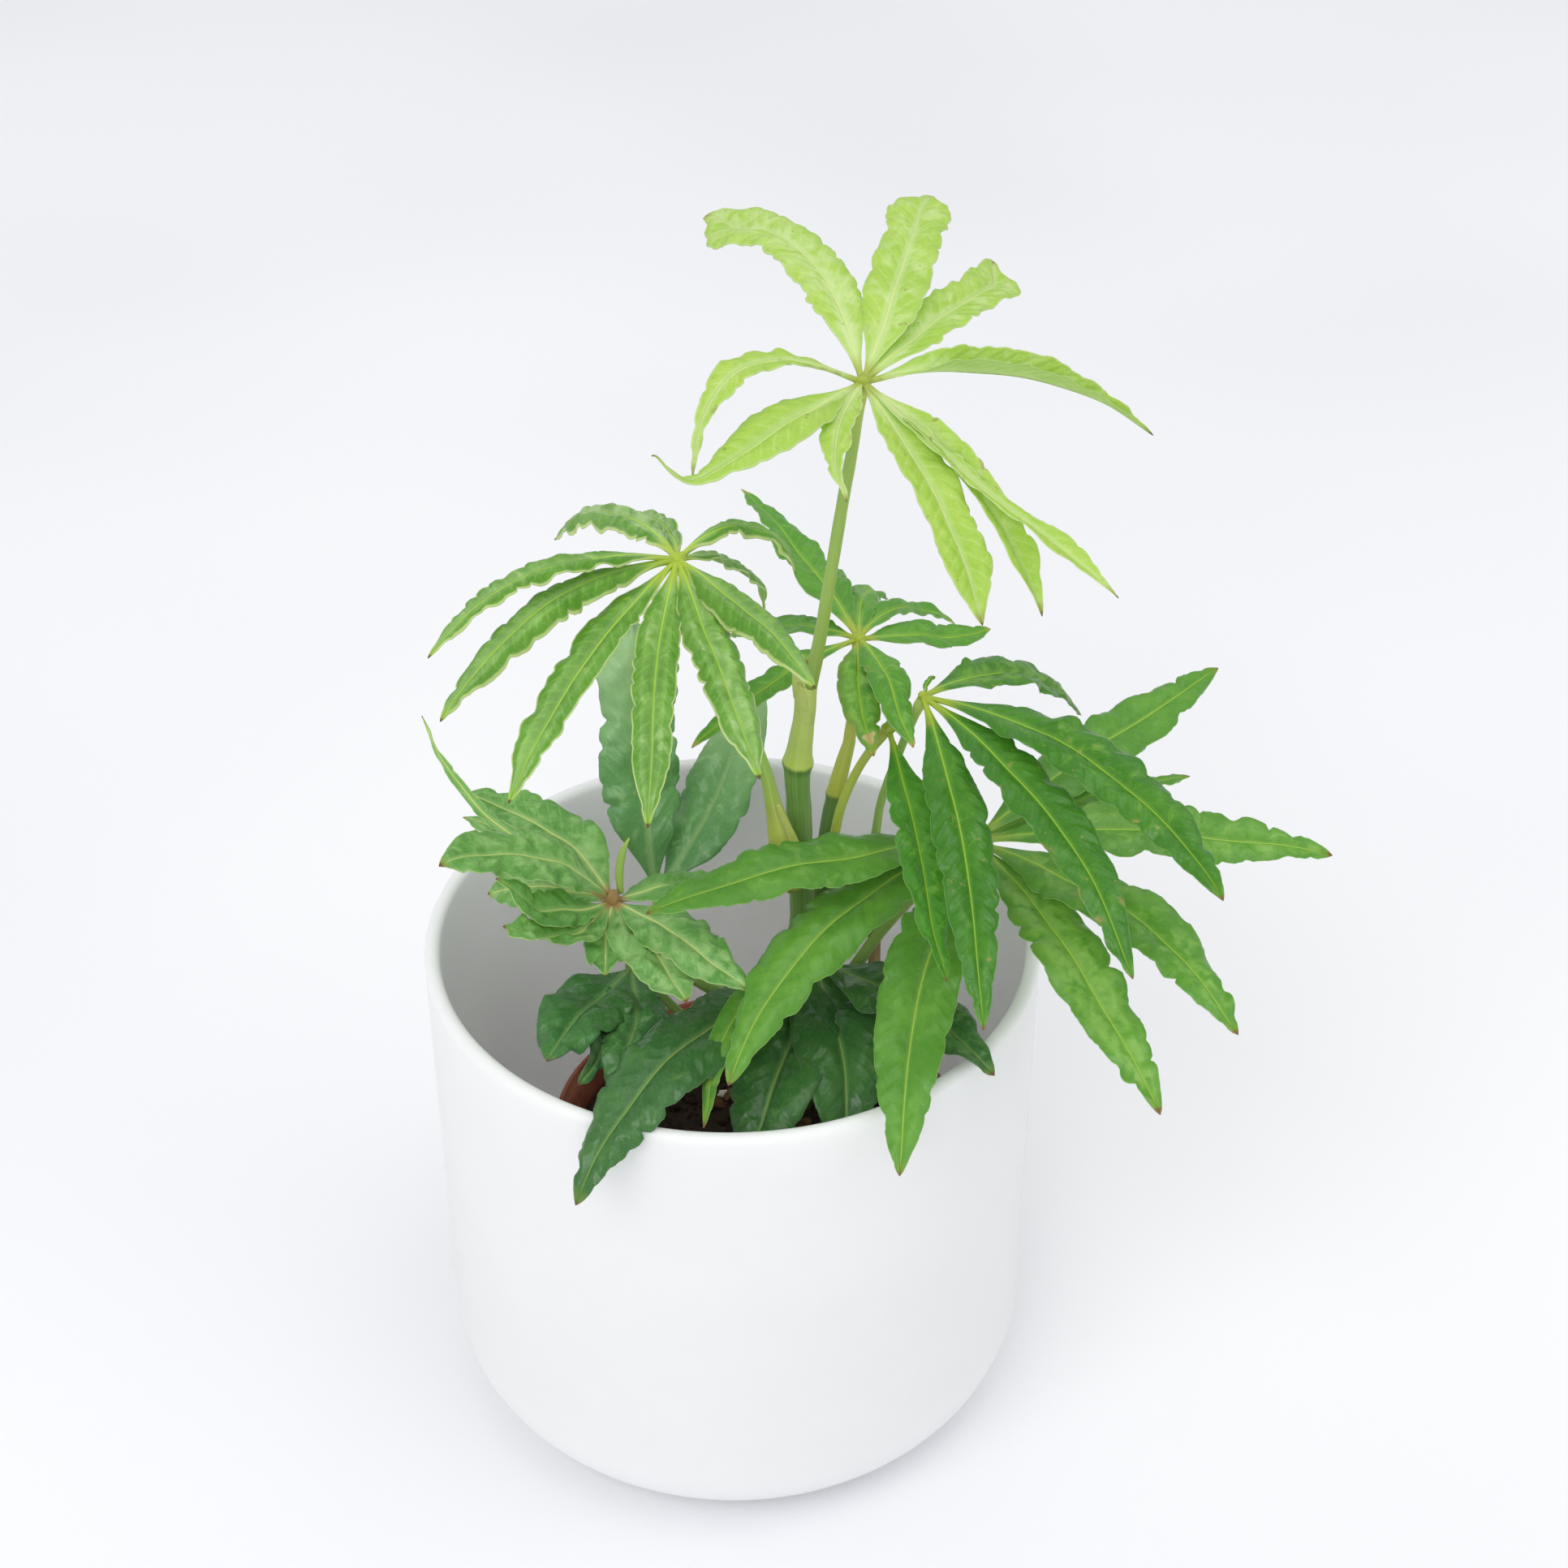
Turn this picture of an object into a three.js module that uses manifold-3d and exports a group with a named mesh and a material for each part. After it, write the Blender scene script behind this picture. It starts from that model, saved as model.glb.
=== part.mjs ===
// A potted anthurium with finger-like leaflets. The plant grows in a soft brown nursery pot, which
// stands inside a white outer pot. Millimetres, +Z up. The origin is the centre of the outer pot's base.
import * as THREE from "three";
import { mergeVertices } from "three/addons/utils/BufferGeometryUtils.js";
import Module from "manifold-3d";

const wasm = await Module();
wasm.setup();

// ---------------------------------------------------------------- driving dimensions
const potRadius = 90;
const potHeight = 164;
const potWall = 4.5;
const potFloor = 6;
const potCorner = 30; // rounded edge between the pot's side and its base
const nurseryRadius = 60;
const nurseryBaseRadius = 42;
const nurseryHeight = 98;
const nurseryWall = 1.2;
const nurseryLip = 10; // height of the band around the rim
const nurseryCentre = new THREE.Vector2(6, -17); // it stands off centre, nearer the front
const soilDepth = 9; // soil surface below the nursery pot's rim
const gap = 0.4; // clearance between pieces that touch
const rootDepth = 10; // how far the stems go down into the soil
const bladeThickness = 1.2; // at the midrib, thinning to nothing at the edge

const nurseryBase = potFloor + gap;
const nurseryTop = nurseryBase + nurseryHeight;
const soilTop = nurseryTop - soilDepth;

// ---------------------------------------------------------------- finishes
function finish(color, roughness) {
  return new THREE.MeshStandardMaterial({ color, roughness, metalness: 0, side: THREE.DoubleSide });
}
const whiteMatte = finish("#f1f1f2", 0.55);
const redBrownPlastic = finish("#8a4030", 0.5);
const pottingSoil = finish("#2b2019", 0.95);
const stemGreen = finish("#6f9440", 0.45);
const petioleGreen = finish("#9bbd5a", 0.45);
const driedTan = finish("#b79a6c", 0.8);

// ---------------------------------------------------------------- solids
function solidOf(geometry) {
  const bare = geometry.clone();
  bare.deleteAttribute("normal");
  bare.deleteAttribute("uv");
  const merged = mergeVertices(bare, 1e-4);
  const triVerts = new Uint32Array(merged.index.array);
  const vertProperties = merged.attributes.position.array;
  return new wasm.Manifold(new wasm.Mesh({ numProp: 3, vertProperties, triVerts }));
}

function geometryOf(solid) {
  const mesh = solid.getMesh();
  const geometry = new THREE.BufferGeometry();
  geometry.setAttribute("position", new THREE.BufferAttribute(mesh.vertProperties, 3));
  geometry.setIndex(new THREE.BufferAttribute(mesh.triVerts, 1));
  geometry.computeVertexNormals();
  return geometry;
}

const plant = new THREE.Group();

function addPiece(name, geometry, material) {
  const mesh = new THREE.Mesh(geometry, material);
  mesh.name = name;
  plant.add(mesh);
  return mesh;
}

// Skins a row of equal rings into one closed surface. Each ring runs clockwise seen from its start
// end. The start is capped flat, and the far end closes on the point `tip`.
function skinRings(rings, tip) {
  const around = rings[0].length;
  const positions = rings.flat().concat([tip]).flatMap((p) => [p.x, p.y, p.z]);
  const triangles = [];
  for (let i = 1; i < around - 1; i++) {
    triangles.push(0, i + 1, i);
  }
  for (let row = 0; row < rings.length - 1; row++) {
    for (let i = 0; i < around; i++) {
      const a = row * around + i;
      const b = row * around + ((i + 1) % around);
      triangles.push(a, b, a + around, b, b + around, a + around);
    }
  }
  const last = (rings.length - 1) * around;
  for (let i = 0; i < around; i++) {
    triangles.push(last + i, last + ((i + 1) % around), rings.length * around);
  }
  const geometry = new THREE.BufferGeometry();
  geometry.setAttribute("position", new THREE.Float32BufferAttribute(positions, 3));
  geometry.setIndex(triangles);
  geometry.computeVertexNormals();
  return geometry;
}

// A round stalk along a curve through `points`, each [x, y, z, radius]. It ends in a low dome.
function stalkGeometry(points, steps, sides) {
  const path = new THREE.CatmullRomCurve3(points.map(([x, y, z]) => new THREE.Vector3(x, y, z)));
  const frames = path.computeFrenetFrames(steps, false);
  const rings = [];
  for (let i = 0; i <= steps; i++) {
    const t = i / steps;
    const place = t * (points.length - 1);
    const below = Math.min(Math.floor(place), points.length - 2);
    const radius = THREE.MathUtils.lerp(points[below][3], points[below + 1][3], place - below);
    const centre = path.getPoint(t);
    const across = frames.normals[i];
    const beside = frames.binormals[i];
    const ring = [];
    for (let k = 0; k < sides; k++) {
      const angle = (2 * Math.PI * k) / sides;
      const point = centre.clone();
      point.addScaledVector(across, radius * Math.cos(angle));
      point.addScaledVector(beside, radius * Math.sin(angle));
      ring.push(point);
    }
    rings.push(ring);
  }
  const endRadius = points[points.length - 1][3];
  const tip = path.getPoint(1).addScaledVector(path.getTangent(1), endRadius * 0.5);
  return skinRings(rings, tip);
}

// ---------------------------------------------------------------- outer pot
function arcPoints(centreX, centreY, radius, fromDegrees, toDegrees, count) {
  const points = [];
  for (let i = 0; i <= count; i++) {
    const angle = THREE.MathUtils.degToRad(fromDegrees + ((toDegrees - fromDegrees) * i) / count);
    points.push(new THREE.Vector2(centreX + radius * Math.cos(angle), centreY + radius * Math.sin(angle)));
  }
  return points;
}

// A profile of (radius, height) points turned about the Z axis.
function turned(profile, segments) {
  return new THREE.LatheGeometry(profile, segments).rotateX(Math.PI / 2);
}

function outerPot() {
  const footRadius = potRadius - potCorner;
  const rim = potWall / 2;
  const innerCorner = potCorner - potWall;
  const profile = [
    new THREE.Vector2(0, 0),
    ...arcPoints(footRadius, potCorner, potCorner, -90, 0, 7),
    ...arcPoints(potRadius - rim, potHeight - rim, rim, 0, 180, 4),
    ...arcPoints(footRadius, potFloor + innerCorner, innerCorner, 0, -90, 6),
    new THREE.Vector2(0, potFloor),
  ];
  addPiece("outer_pot", turned(profile, 48), whiteMatte);
}

// ---------------------------------------------------------------- nursery pot and soil
// The nursery pot's inner radius at a height above its own base.
function nurseryInside(height) {
  const top = nurseryRadius - 2 * nurseryWall;
  return THREE.MathUtils.lerp(nurseryBaseRadius, top, height / nurseryHeight) - nurseryWall;
}

function nurseryPot() {
  const bodyTop = nurseryHeight - nurseryLip;
  const bodyRadius = nurseryInside(bodyTop) + nurseryWall;
  const profile = [
    new THREE.Vector2(0, 0),
    new THREE.Vector2(nurseryBaseRadius - 2, 0),
    new THREE.Vector2(nurseryBaseRadius, 2),
    new THREE.Vector2(bodyRadius, bodyTop),
    new THREE.Vector2(nurseryRadius - nurseryWall, bodyTop + 1),
    new THREE.Vector2(nurseryRadius, nurseryHeight - 1),
    new THREE.Vector2(nurseryRadius - nurseryWall, nurseryHeight),
    new THREE.Vector2(nurseryInside(nurseryHeight), nurseryHeight - 1),
    new THREE.Vector2(nurseryInside(nurseryWall), nurseryWall),
    new THREE.Vector2(0, nurseryWall),
  ];
  let solid = solidOf(turned(profile, 40));
  const holeCount = 6;
  for (let i = 0; i < holeCount; i++) {
    const angle = (2 * Math.PI * i) / holeCount;
    const hole = new THREE.CylinderGeometry(3.5, 3.5, 6, 12).rotateX(Math.PI / 2);
    hole.translate(28 * Math.cos(angle), 28 * Math.sin(angle), 0);
    solid = solid.subtract(solidOf(hole));
  }
  const piece = addPiece("nursery_pot", geometryOf(solid), redBrownPlastic);
  piece.position.set(nurseryCentre.x, nurseryCentre.y, nurseryBase);
}

// Every stem or stub that goes down into the soil: its place at the surface and its radius.
const rootedStems = [
  { x: 20, y: 1, radius: 4.2 },
  { x: 26.5, y: 9.5, radius: 3.6 },
  { x: 43, y: 10, radius: 1.9 },
];

function pottingMix() {
  const floor = nurseryBase + nurseryWall + gap;
  const ringRadii = [0, 10, 20, 30, 39, 46, nurseryInside(soilTop - nurseryBase) - gap];
  const around = 32;
  const profile = [
    new THREE.Vector2(0, floor),
    new THREE.Vector2(nurseryInside(floor - nurseryBase) - gap, floor),
    ...ringRadii.reverse().map((radius) => new THREE.Vector2(radius, soilTop)),
  ];
  const geometry = turned(profile, around);
  const place = geometry.attributes.position;
  for (let i = 0; i < place.count; i++) {
    const x = place.getX(i);
    const y = place.getY(i);
    if (place.getZ(i) > soilTop - 1) {
      const lumps = Math.sin(x * 0.31 + 1) * Math.cos(y * 0.27) + 0.7 * Math.sin(x * 0.17 + y * 0.23);
      place.setZ(i, soilTop + lumps);
    }
  }
  geometry.translate(nurseryCentre.x, nurseryCentre.y, 0);
  let solid = solidOf(geometry);
  for (const { x, y, radius } of rootedStems) {
    const depth = rootDepth + gap;
    const socket = new THREE.CylinderGeometry(radius + gap, radius + gap, 2 * depth, 12);
    socket.rotateX(Math.PI / 2).translate(x, y, soilTop);
    solid = solid.subtract(solidOf(socket));
  }
  addPiece("potting_soil", geometryOf(solid), pottingSoil);
}

// ---------------------------------------------------------------- stems and leaf stalks
const stemFoot = soilTop - rootDepth;

// Each stalk is a row of [x, y, z, radius] from its lower end to its upper end.
const stems = {
  main_stem: [
    [20, 1, stemFoot, 4.1], [20, 1, 114, 4.1], [20, 1, 134, 4.0], [20.4, 1, 168, 3.7], [21, 1, 190, 3.6],
    [21, 1, 212, 3.5], [19.4, 1, 219, 4.5], [19.6, 1, 224, 4.2], [20.4, 1, 231, 3.3], [20.4, 1, 249, 3.2],
  ],
  second_stem: [
    [26.5, 9.5, stemFoot, 3.5], [26.5, 9.5, 130, 3.5], [27, 10, 175, 3.3], [28, 10.5, 190, 3.2],
    [29.6, 13, 200, 3.9], [30.6, 15, 206, 3.3], [34, 21, 217, 3.1],
  ],
};

const petioles = {
  top_leaf_stalk: [
    [22.2, 0, 251.2, 2.1], [23.6, -1, 258, 2.1], [25.3, -2, 270, 1.9], [27.3, -3.5, 286, 1.8],
    [30.4, -5, 310.5, 1.6], [32.8, -7, 328.5, 1.5], [34.2, -7.7, 342, 1.4],
  ],
  left_leaf_stalk: [
    [15.6, -7.2, 190, 2.2], [15.2, -8, 197, 4.0], [14, -8.4, 205, 3.3], [11.8, -8.2, 215, 2.0],
    [9, -8, 230, 1.5], [1.8, -6.5, 249, 1.4], [-6, -6.2, 272, 1.4], [-12, -7.7, 291, 1.4],
  ],
  middle_leaf_stalk: [
    [34.9, 23.4, 220.6, 2.0], [35.4, 27.5, 226, 1.7], [36, 32, 232.5, 1.6], [36.4, 35, 238.2, 1.5],
  ],
  right_leaf_stalk: [
    [31.3, 13.5, 150, 2.0], [37, 15, 168, 1.5], [41.6, 14.6, 187, 1.3], [43, 14.4, 199, 1.2],
    [47.6, 12, 218, 1.2], [52.6, 7, 237.6, 1.2],
  ],
  narrow_leaf_stalk: [
    [32.5, 5.2, 186, 1.6], [32.6, 5.2, 195, 2.4], [34.6, 6.4, 205, 1.9], [39, 9.2, 216, 1.8],
    [43, 11.4, 223, 1.5],
  ],
  wide_leaf_stalk: [
    [26.2, -1.8, 134, 1.9], [33, -4, 148, 1.8], [45, -6, 171, 1.7], [58, -6, 188, 1.6],
    [66.6, -4.6, 196, 1.5],
  ],
  low_left_leaf_stalk: [
    [13.9, -1.4, 128, 1.9], [4, -8, 141, 1.8], [-12, -17, 160, 1.6], [-26, -22, 179, 1.5],
    [-31.4, -22.2, 188.4, 1.5],
  ],
  back_leaf_stalk: [
    [14.6, 5.4, 116, 1.9], [4, 14, 121, 1.8], [-13, 27, 132, 1.7], [-23.6, 33, 145.6, 1.6],
  ],
  rim_leaf_stalk: [
    [21.2, -5.3, 118, 1.9], [23, -10, 134, 1.8], [24, -13.4, 149, 1.7], [24, -14, 158.9, 1.6],
  ],
  dark_leaf_stalk: [
    [15, -3.4, 108, 1.7], [5, -11, 120, 1.6], [-11, -17, 141, 1.5], [-24.6, -18.2, 161, 1.4],
  ],
};

function stalks() {
  for (const [name, points] of Object.entries(stems)) {
    addPiece(name, stalkGeometry(points, 3 * (points.length - 1), 10), stemGreen);
  }
  for (const [name, points] of Object.entries(petioles)) {
    addPiece(name, stalkGeometry(points, 2 * (points.length - 1), 7), petioleGreen);
  }
}

// The sheathing scale beside the youngest leaf stalk, and what is left of older stalks.
function smallGrowth() {
  const bud = [[17.9, 1, 251.3, 1.3], [17.9, 1, 253.5, 1.6], [18.2, 1, 257, 0.8]];
  addPiece("stem_tip_bud", stalkGeometry(bud, 4, 7), petioleGreen);
  const stub = [[43, 10, stemFoot, 1.8], [42.8, 10, 125, 1.7], [42, 10, 157, 1.9]];
  addPiece("dried_stalk_stub", stalkGeometry(stub, 6, 7), driedTan);
  const shoot = [[-30, -17, 196.5, 1.0], [-31.2, -16, 200, 1.3], [-30, -15.2, 204, 0.9], [-28.4, -15, 207, 0.3]];
  addPiece("young_shoot", stalkGeometry(shoot, 6, 6), petioleGreen);
}

// ---------------------------------------------------------------- leaf blades
// Each blade is a fan of leaflets that grow out of one hub at the top of its stalk.
// A leaflet is [bearing, reach, fall, width, arch, sway, roll, hook]:
//   bearing  degrees round the hub, 0 towards +X and 90 towards +Y
//   reach    how far the tip is from the hub, seen from above
//   fall     how far the tip hangs below the hub
//   width    of the leaflet at its widest
//   arch     how far its middle rises above the straight line from hub to tip
//   sway     how far its middle leans to the left of that line, looking out from the hub
//   roll     degrees that the leaflet turns round its own midrib
//   hook     how much further the last third of the tip droops
const blades = {
  top_leaf_blade: {
    hub: [34.8, -8, 346],
    color: "#a9d061",
    leaflets: [
      [118, 88, -10, 17, 9, -8, 20, 8],
      [78, 80, -19, 18, 4, -3, 10, 4],
      [58, 82, 0, 16.5, 4, 1, 20, 4],
      [20, 85, 30, 11, 7, 5, 35, 0],
      [-51, 92, 18, 8, 1, -3, 10, 2],
      [-59, 79, 26, 9, 3, 5, 5, 2],
      [-67, 73, 27, 15, 2, 4, 0, 2],
      [-101, 42, 9, 11, 2, -2, 0, 3],
      [-133, 72, 8, 14, 2, 1, -10, -15],
      [-134, 60, -9, 8, 7, -10, -10, 12],
    ],
  },
  left_leaf_blade: {
    hub: [-13, -8, 294.5],
    color: "#5ea53f",
    leaflets: [
      [-133, 85, -12, 8.5, 6.5, -5, -10, 2],
      [-127, 90, 2, 10.5, 6, -6, -10, 2],
      [-116, 90, 19, 12, 1, -3, -5, 0],
      [-93, 84, 25, 12.5, 3, -2, 0, 0],
      [-75, 83, 13, 13, 1, 0, 0, 2],
      [-59, 72, -1, 11, 1, 1, 5, 2],
      [57, 46, 38, 8, 5, 1, 30, 0],
      [126, 66, 22, 14, 7, -4, -20, 2],
      [107, 60, 18, 12, 2, -4, -10, 4],
      [36, 40, 12, 6, 7, 3, 30, 6],
    ],
  },
  middle_leaf_blade: {
    hub: [36.4, 36, 242],
    color: "#3f7d3a",
    leaflets: [
      [115, 84, -6, 16, 0, -3, 20, 0],
      [135, 55, 24, 11, 3, -1, -20, 0],
      [95, 59, 12, 8, 2, 1, 20, 0],
      [78, 46, 13, 10, 5, 3, 20, 0],
      [53, 52, 20, 8, 5, 4, 35, 0],
      [34, 49, 16, 12, 0, 0, 30, 0],
      [-85, 42, 12, 12.5, 2, -2, 0, 0],
      [-74, 47, 7, 12, 4, 1, 0, 0],
      [-140, 60, 12, 9, 2, -3, -20, 0],
    ],
  },
  right_leaf_blade: {
    hub: [53.6, 6, 242],
    color: "#2f7038",
    leaflets: [
      [38, 65, 32, 14, 8, 2, 30, 0],
      [-50, 112, 6, 18.5, 4, 12, 10, 0],
      [-62, 108, 22, 17, 4, 6, 5, 0],
      [-83, 99, 38, 16.5, 2, 3, 0, 0],
      [72, 17, 0, 5, 1, 0, 0, 0],
    ],
  },
  narrow_leaf_blade: {
    hub: [44.6, 12, 227],
    color: "#36793a",
    leaflets: [
      [-82, 85, 24, 13, 1, 1, 0, 0],
    ],
  },
  wide_leaf_blade: {
    hub: [69, -4, 199],
    color: "#43913f",
    leaflets: [
      [42, 107, -11, 20, 3, 1, 30, 0],
      [7, 107, 15, 20, 4, 3, 35, 0],
      [-51, 104, 0, 22, 4, 6, 5, 0],
      [-66, 104, 18, 20, 5, 3, 0, 0],
      [-104, 102, 35, 22.5, 3, -4, 0, 0],
      [-130, 106, 18, 22, 4, -11, -10, 0],
      [-135, 106, 33, 10, 2, -12, 0, 0],
      [-150, 103, -14, 20, 3, -3, -25, 0],
      [36, 86, 14, 12, 3, 1, 10, 0],
    ],
  },
  low_left_leaf_blade: {
    hub: [-33, -22, 191.5],
    color: "#5c9d4a",
    leaflets: [
      [137, 62, -5, 20, 4, -5, -20, 0],
      [-148, 51, -32, 18, 7, -4, -20, 0],
      [-141, 36, -25, 9, -6, 1, -10, 0],
      [-129, 41, -17, 12, -7, 2, 0, 0],
      [-89, 30, 2, 13, -2, -2, 0, 0],
      [-61, 44, 5, 20, 0, 1, 0, 0],
      [-42, 52, 3, 18, 2, 0, 10, 0],
      [38, 46, 12, 14, 1, 0, 10, 0],
      [165, 38, 4, 9, 2, -1, -20, 0],
      [144, 70, -34, 5, -3, 5, -60, 0],
    ],
  },
  back_leaf_blade: {
    hub: [-24, 34.5, 150],
    color: "#2f6d41",
    leaflets: [
      [98, 44, -72, 25, 0, 2, 0, 0],
      [58, 60, -43, 23, 0, -3, 10, 0],
    ],
  },
  rim_leaf_blade: {
    hub: [24, -14, 163],
    color: "#2f7340",
    leaflets: [
      [-128, 107, -8, 22, 3, 0, 0, 22],
      [-107, 69, 22, 21, 5, 2, 0, 0],
      [-82, 60, 20, 21, 5, 2, 0, 0],
      [-46, 71, -5, 17, 3, 1, 0, 0],
    ],
  },
  dark_leaf_blade: {
    hub: [-28.6, -18, 164.5],
    color: "#2d6c43",
    leaflets: [
      [-119, 46, -4, 21, -2, -1, -10, 4],
      [-106, 42, 10, 9, 0, 0, -60, 0],
      [-94, 46, 4, 16, 0, 3, 0, 4],
    ],
  },
};

// Half the width of a leaflet, as a share of its full width, from its stalk (0) to its tip (1).
function leafletOutline(t) {
  const belly = Math.pow(Math.sin(Math.PI * Math.pow(t, 0.9)), 0.7);
  const narrowBase = 0.25 + 0.75 * THREE.MathUtils.smoothstep(t, 0, 0.3);
  return 0.5 * belly * narrowBase;
}

function leafletGeometry(hub, [bearing, reach, fall, width, arch, sway, roll, hook]) {
  const up = new THREE.Vector3(0, 0, 1);
  const heading = THREE.MathUtils.degToRad(bearing);
  const outward = new THREE.Vector3(Math.cos(heading), Math.sin(heading), 0);
  const toTip = outward.clone().multiplyScalar(reach).addScaledVector(up, -fall);
  const leftward = up.clone().cross(outward);
  const lift = toTip.clone().cross(leftward).normalize();
  const along = (t) => {
    const point = hub.clone().addScaledVector(toTip, t);
    point.addScaledVector(lift, 4 * arch * t * (1 - t));
    point.addScaledVector(leftward, 4 * sway * t * (1 - t));
    return point.addScaledVector(up, -hook * Math.pow(t, 7));
  };
  const stations = 9;
  const rings = [];
  for (let i = 0; i < stations; i++) {
    const t = 0.015 + (0.96 * i) / (stations - 1);
    const centre = along(t);
    const tangent = along(t + 0.01).sub(along(t - 0.01)).normalize();
    const left = up.clone().cross(tangent).normalize().applyAxisAngle(tangent, THREE.MathUtils.degToRad(roll * t));
    const normal = tangent.clone().cross(left);
    const half = width * leafletOutline(t);
    const thick = bladeThickness / 2;
    const edgeLift = 0.16 * half; // the two halves rise a little from the midrib
    const leftEdge = centre.clone().addScaledVector(left, half).addScaledVector(normal, edgeLift);
    const rightEdge = centre.clone().addScaledVector(left, -half).addScaledVector(normal, edgeLift);
    const above = centre.clone().addScaledVector(normal, thick);
    const below = centre.clone().addScaledVector(normal, -thick);
    rings.push([above, rightEdge, below, leftEdge]);
  }
  return skinRings(rings, along(1));
}

function leafBlades() {
  const hubRadius = 2.4;
  for (const [name, { hub, color, leaflets }] of Object.entries(blades)) {
    const centre = new THREE.Vector3(...hub);
    const knob = new THREE.SphereGeometry(hubRadius, 10, 6).translate(...hub);
    let solid = solidOf(knob);
    for (const leaflet of leaflets) {
      solid = solid.add(solidOf(leafletGeometry(centre, leaflet)));
    }
    addPiece(name, geometryOf(solid), finish(color, 0.4));
  }
}

outerPot();
nurseryPot();
pottingMix();
stalks();
smallGrowth();
leafBlades();

export default plant;
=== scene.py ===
import math
import random

import bmesh
import bpy
import numpy as np
from mathutils import Matrix, Vector, noise


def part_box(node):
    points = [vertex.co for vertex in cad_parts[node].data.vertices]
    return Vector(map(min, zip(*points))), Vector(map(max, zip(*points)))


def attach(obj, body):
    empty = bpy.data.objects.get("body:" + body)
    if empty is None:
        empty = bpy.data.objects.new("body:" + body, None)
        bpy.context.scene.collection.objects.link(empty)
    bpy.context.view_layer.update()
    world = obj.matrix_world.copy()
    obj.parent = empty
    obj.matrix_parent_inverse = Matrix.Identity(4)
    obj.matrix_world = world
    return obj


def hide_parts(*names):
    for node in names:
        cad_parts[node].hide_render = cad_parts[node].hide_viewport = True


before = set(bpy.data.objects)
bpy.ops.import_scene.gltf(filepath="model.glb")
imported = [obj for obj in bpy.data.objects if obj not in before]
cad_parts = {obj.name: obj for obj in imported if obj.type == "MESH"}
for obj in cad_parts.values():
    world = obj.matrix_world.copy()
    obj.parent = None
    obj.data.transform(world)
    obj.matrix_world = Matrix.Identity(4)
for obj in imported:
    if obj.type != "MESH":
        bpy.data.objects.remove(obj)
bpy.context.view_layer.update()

mm = 0.001
body = "root"
turn = 2 * math.pi

# Camera and light

studio = {
    "cameraPlace": (0.01499, -0.61521, 0.65344),
    "cameraTilt": 54.6,
    "lens": 61.5,
    "sensor": 36,
    "sky": (0.97, 0.985, 1.0),
    "skyStrength": 0.65,
    # name: place, aim, width, height, watts, colour
    "lights": {
        "windowLeft": ((-2.0, -2.8, 3.8), (0, 0, 0.15), 2.6, 2.6, 62, (1.0, 0.995, 0.98)),
        "front": ((-0.3, -3.7, 2.8), (0, 0, 0.15), 1.6, 1.6, 30, (1.0, 1.0, 1.0)),
        "overhead": ((0.1, 0.1, 2.1), (0, 0, 0.1), 1.4, 1.4, 4, (1.0, 1.0, 1.0)),
        "highRight": ((1.8, -0.6, 3.8), (0, 0, 0.15), 3.2, 3.2, 32, (0.98, 0.99, 1.0)),
    },
}


def addCamera(look):
    camera = bpy.data.objects.new("camera", bpy.data.cameras.new("camera"))
    camera.data.lens = look["lens"]
    camera.data.sensor_width = look["sensor"]
    camera.location = look["cameraPlace"]
    camera.rotation_euler = (math.radians(look["cameraTilt"]), 0, 0)
    bpy.context.scene.collection.objects.link(camera)
    bpy.context.scene.camera = camera
    bpy.context.scene.view_settings.view_transform = "Standard"


def addLight(name, place, aim, width, height, watts, colour):
    lamp = bpy.data.lights.new(name, "AREA")
    lamp.shape = "RECTANGLE"
    lamp.size, lamp.size_y = width, height
    lamp.energy, lamp.color = watts, colour
    holder = bpy.data.objects.new(name, lamp)
    holder.location = place
    holder.rotation_euler = (Vector(aim) - Vector(place)).to_track_quat("-Z", "Y").to_euler()
    bpy.context.scene.collection.objects.link(holder)


def addSky(look):
    world = bpy.data.worlds.new("studio")
    world.use_nodes = True
    backgroundNode = world.node_tree.nodes["Background"]
    backgroundNode.inputs["Color"].default_value = (*look["sky"], 1)
    backgroundNode.inputs["Strength"].default_value = look["skyStrength"]
    bpy.context.scene.world = world


addCamera(studio)
for name, row in studio["lights"].items():
    addLight(name, *row)
addSky(studio)
print("camera and light are set")

# Shader helpers


def paint(code):  # "#rrggbb" to the linear colour that Blender wants
    parts = [int(code[i:i + 2], 16) / 255 for i in (1, 3, 5)]
    return tuple(c / 12.92 if c <= 0.04045 else ((c + 0.055) / 1.055) ** 2.4 for c in parts) + (1,)


class Wire:  # one output socket, which can be added, multiplied and so on
    def __init__(self, maker, socket):
        self.maker, self.socket = maker, socket

    def maths(self, operation, *others):
        return self.maker.add("ShaderNodeMath", {"operation": operation}, dict(enumerate(others)))

    def cosine(self):
        return self.maths("COSINE", self)

    def __add__(self, other):
        return self.maths("ADD", self, other)

    def __radd__(self, other):
        return self.maths("ADD", other, self)

    def __sub__(self, other):
        return self.maths("SUBTRACT", self, other)

    def __rsub__(self, other):
        return self.maths("SUBTRACT", other, self)

    def __mul__(self, other):
        return self.maths("MULTIPLY", self, other)

    def __rmul__(self, other):
        return self.maths("MULTIPLY", other, self)

    def __truediv__(self, other):
        return self.maths("DIVIDE", self, other)

    def __rtruediv__(self, other):
        return self.maths("DIVIDE", other, self)

    def __pow__(self, other):
        return self.maths("POWER", self, other)


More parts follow.
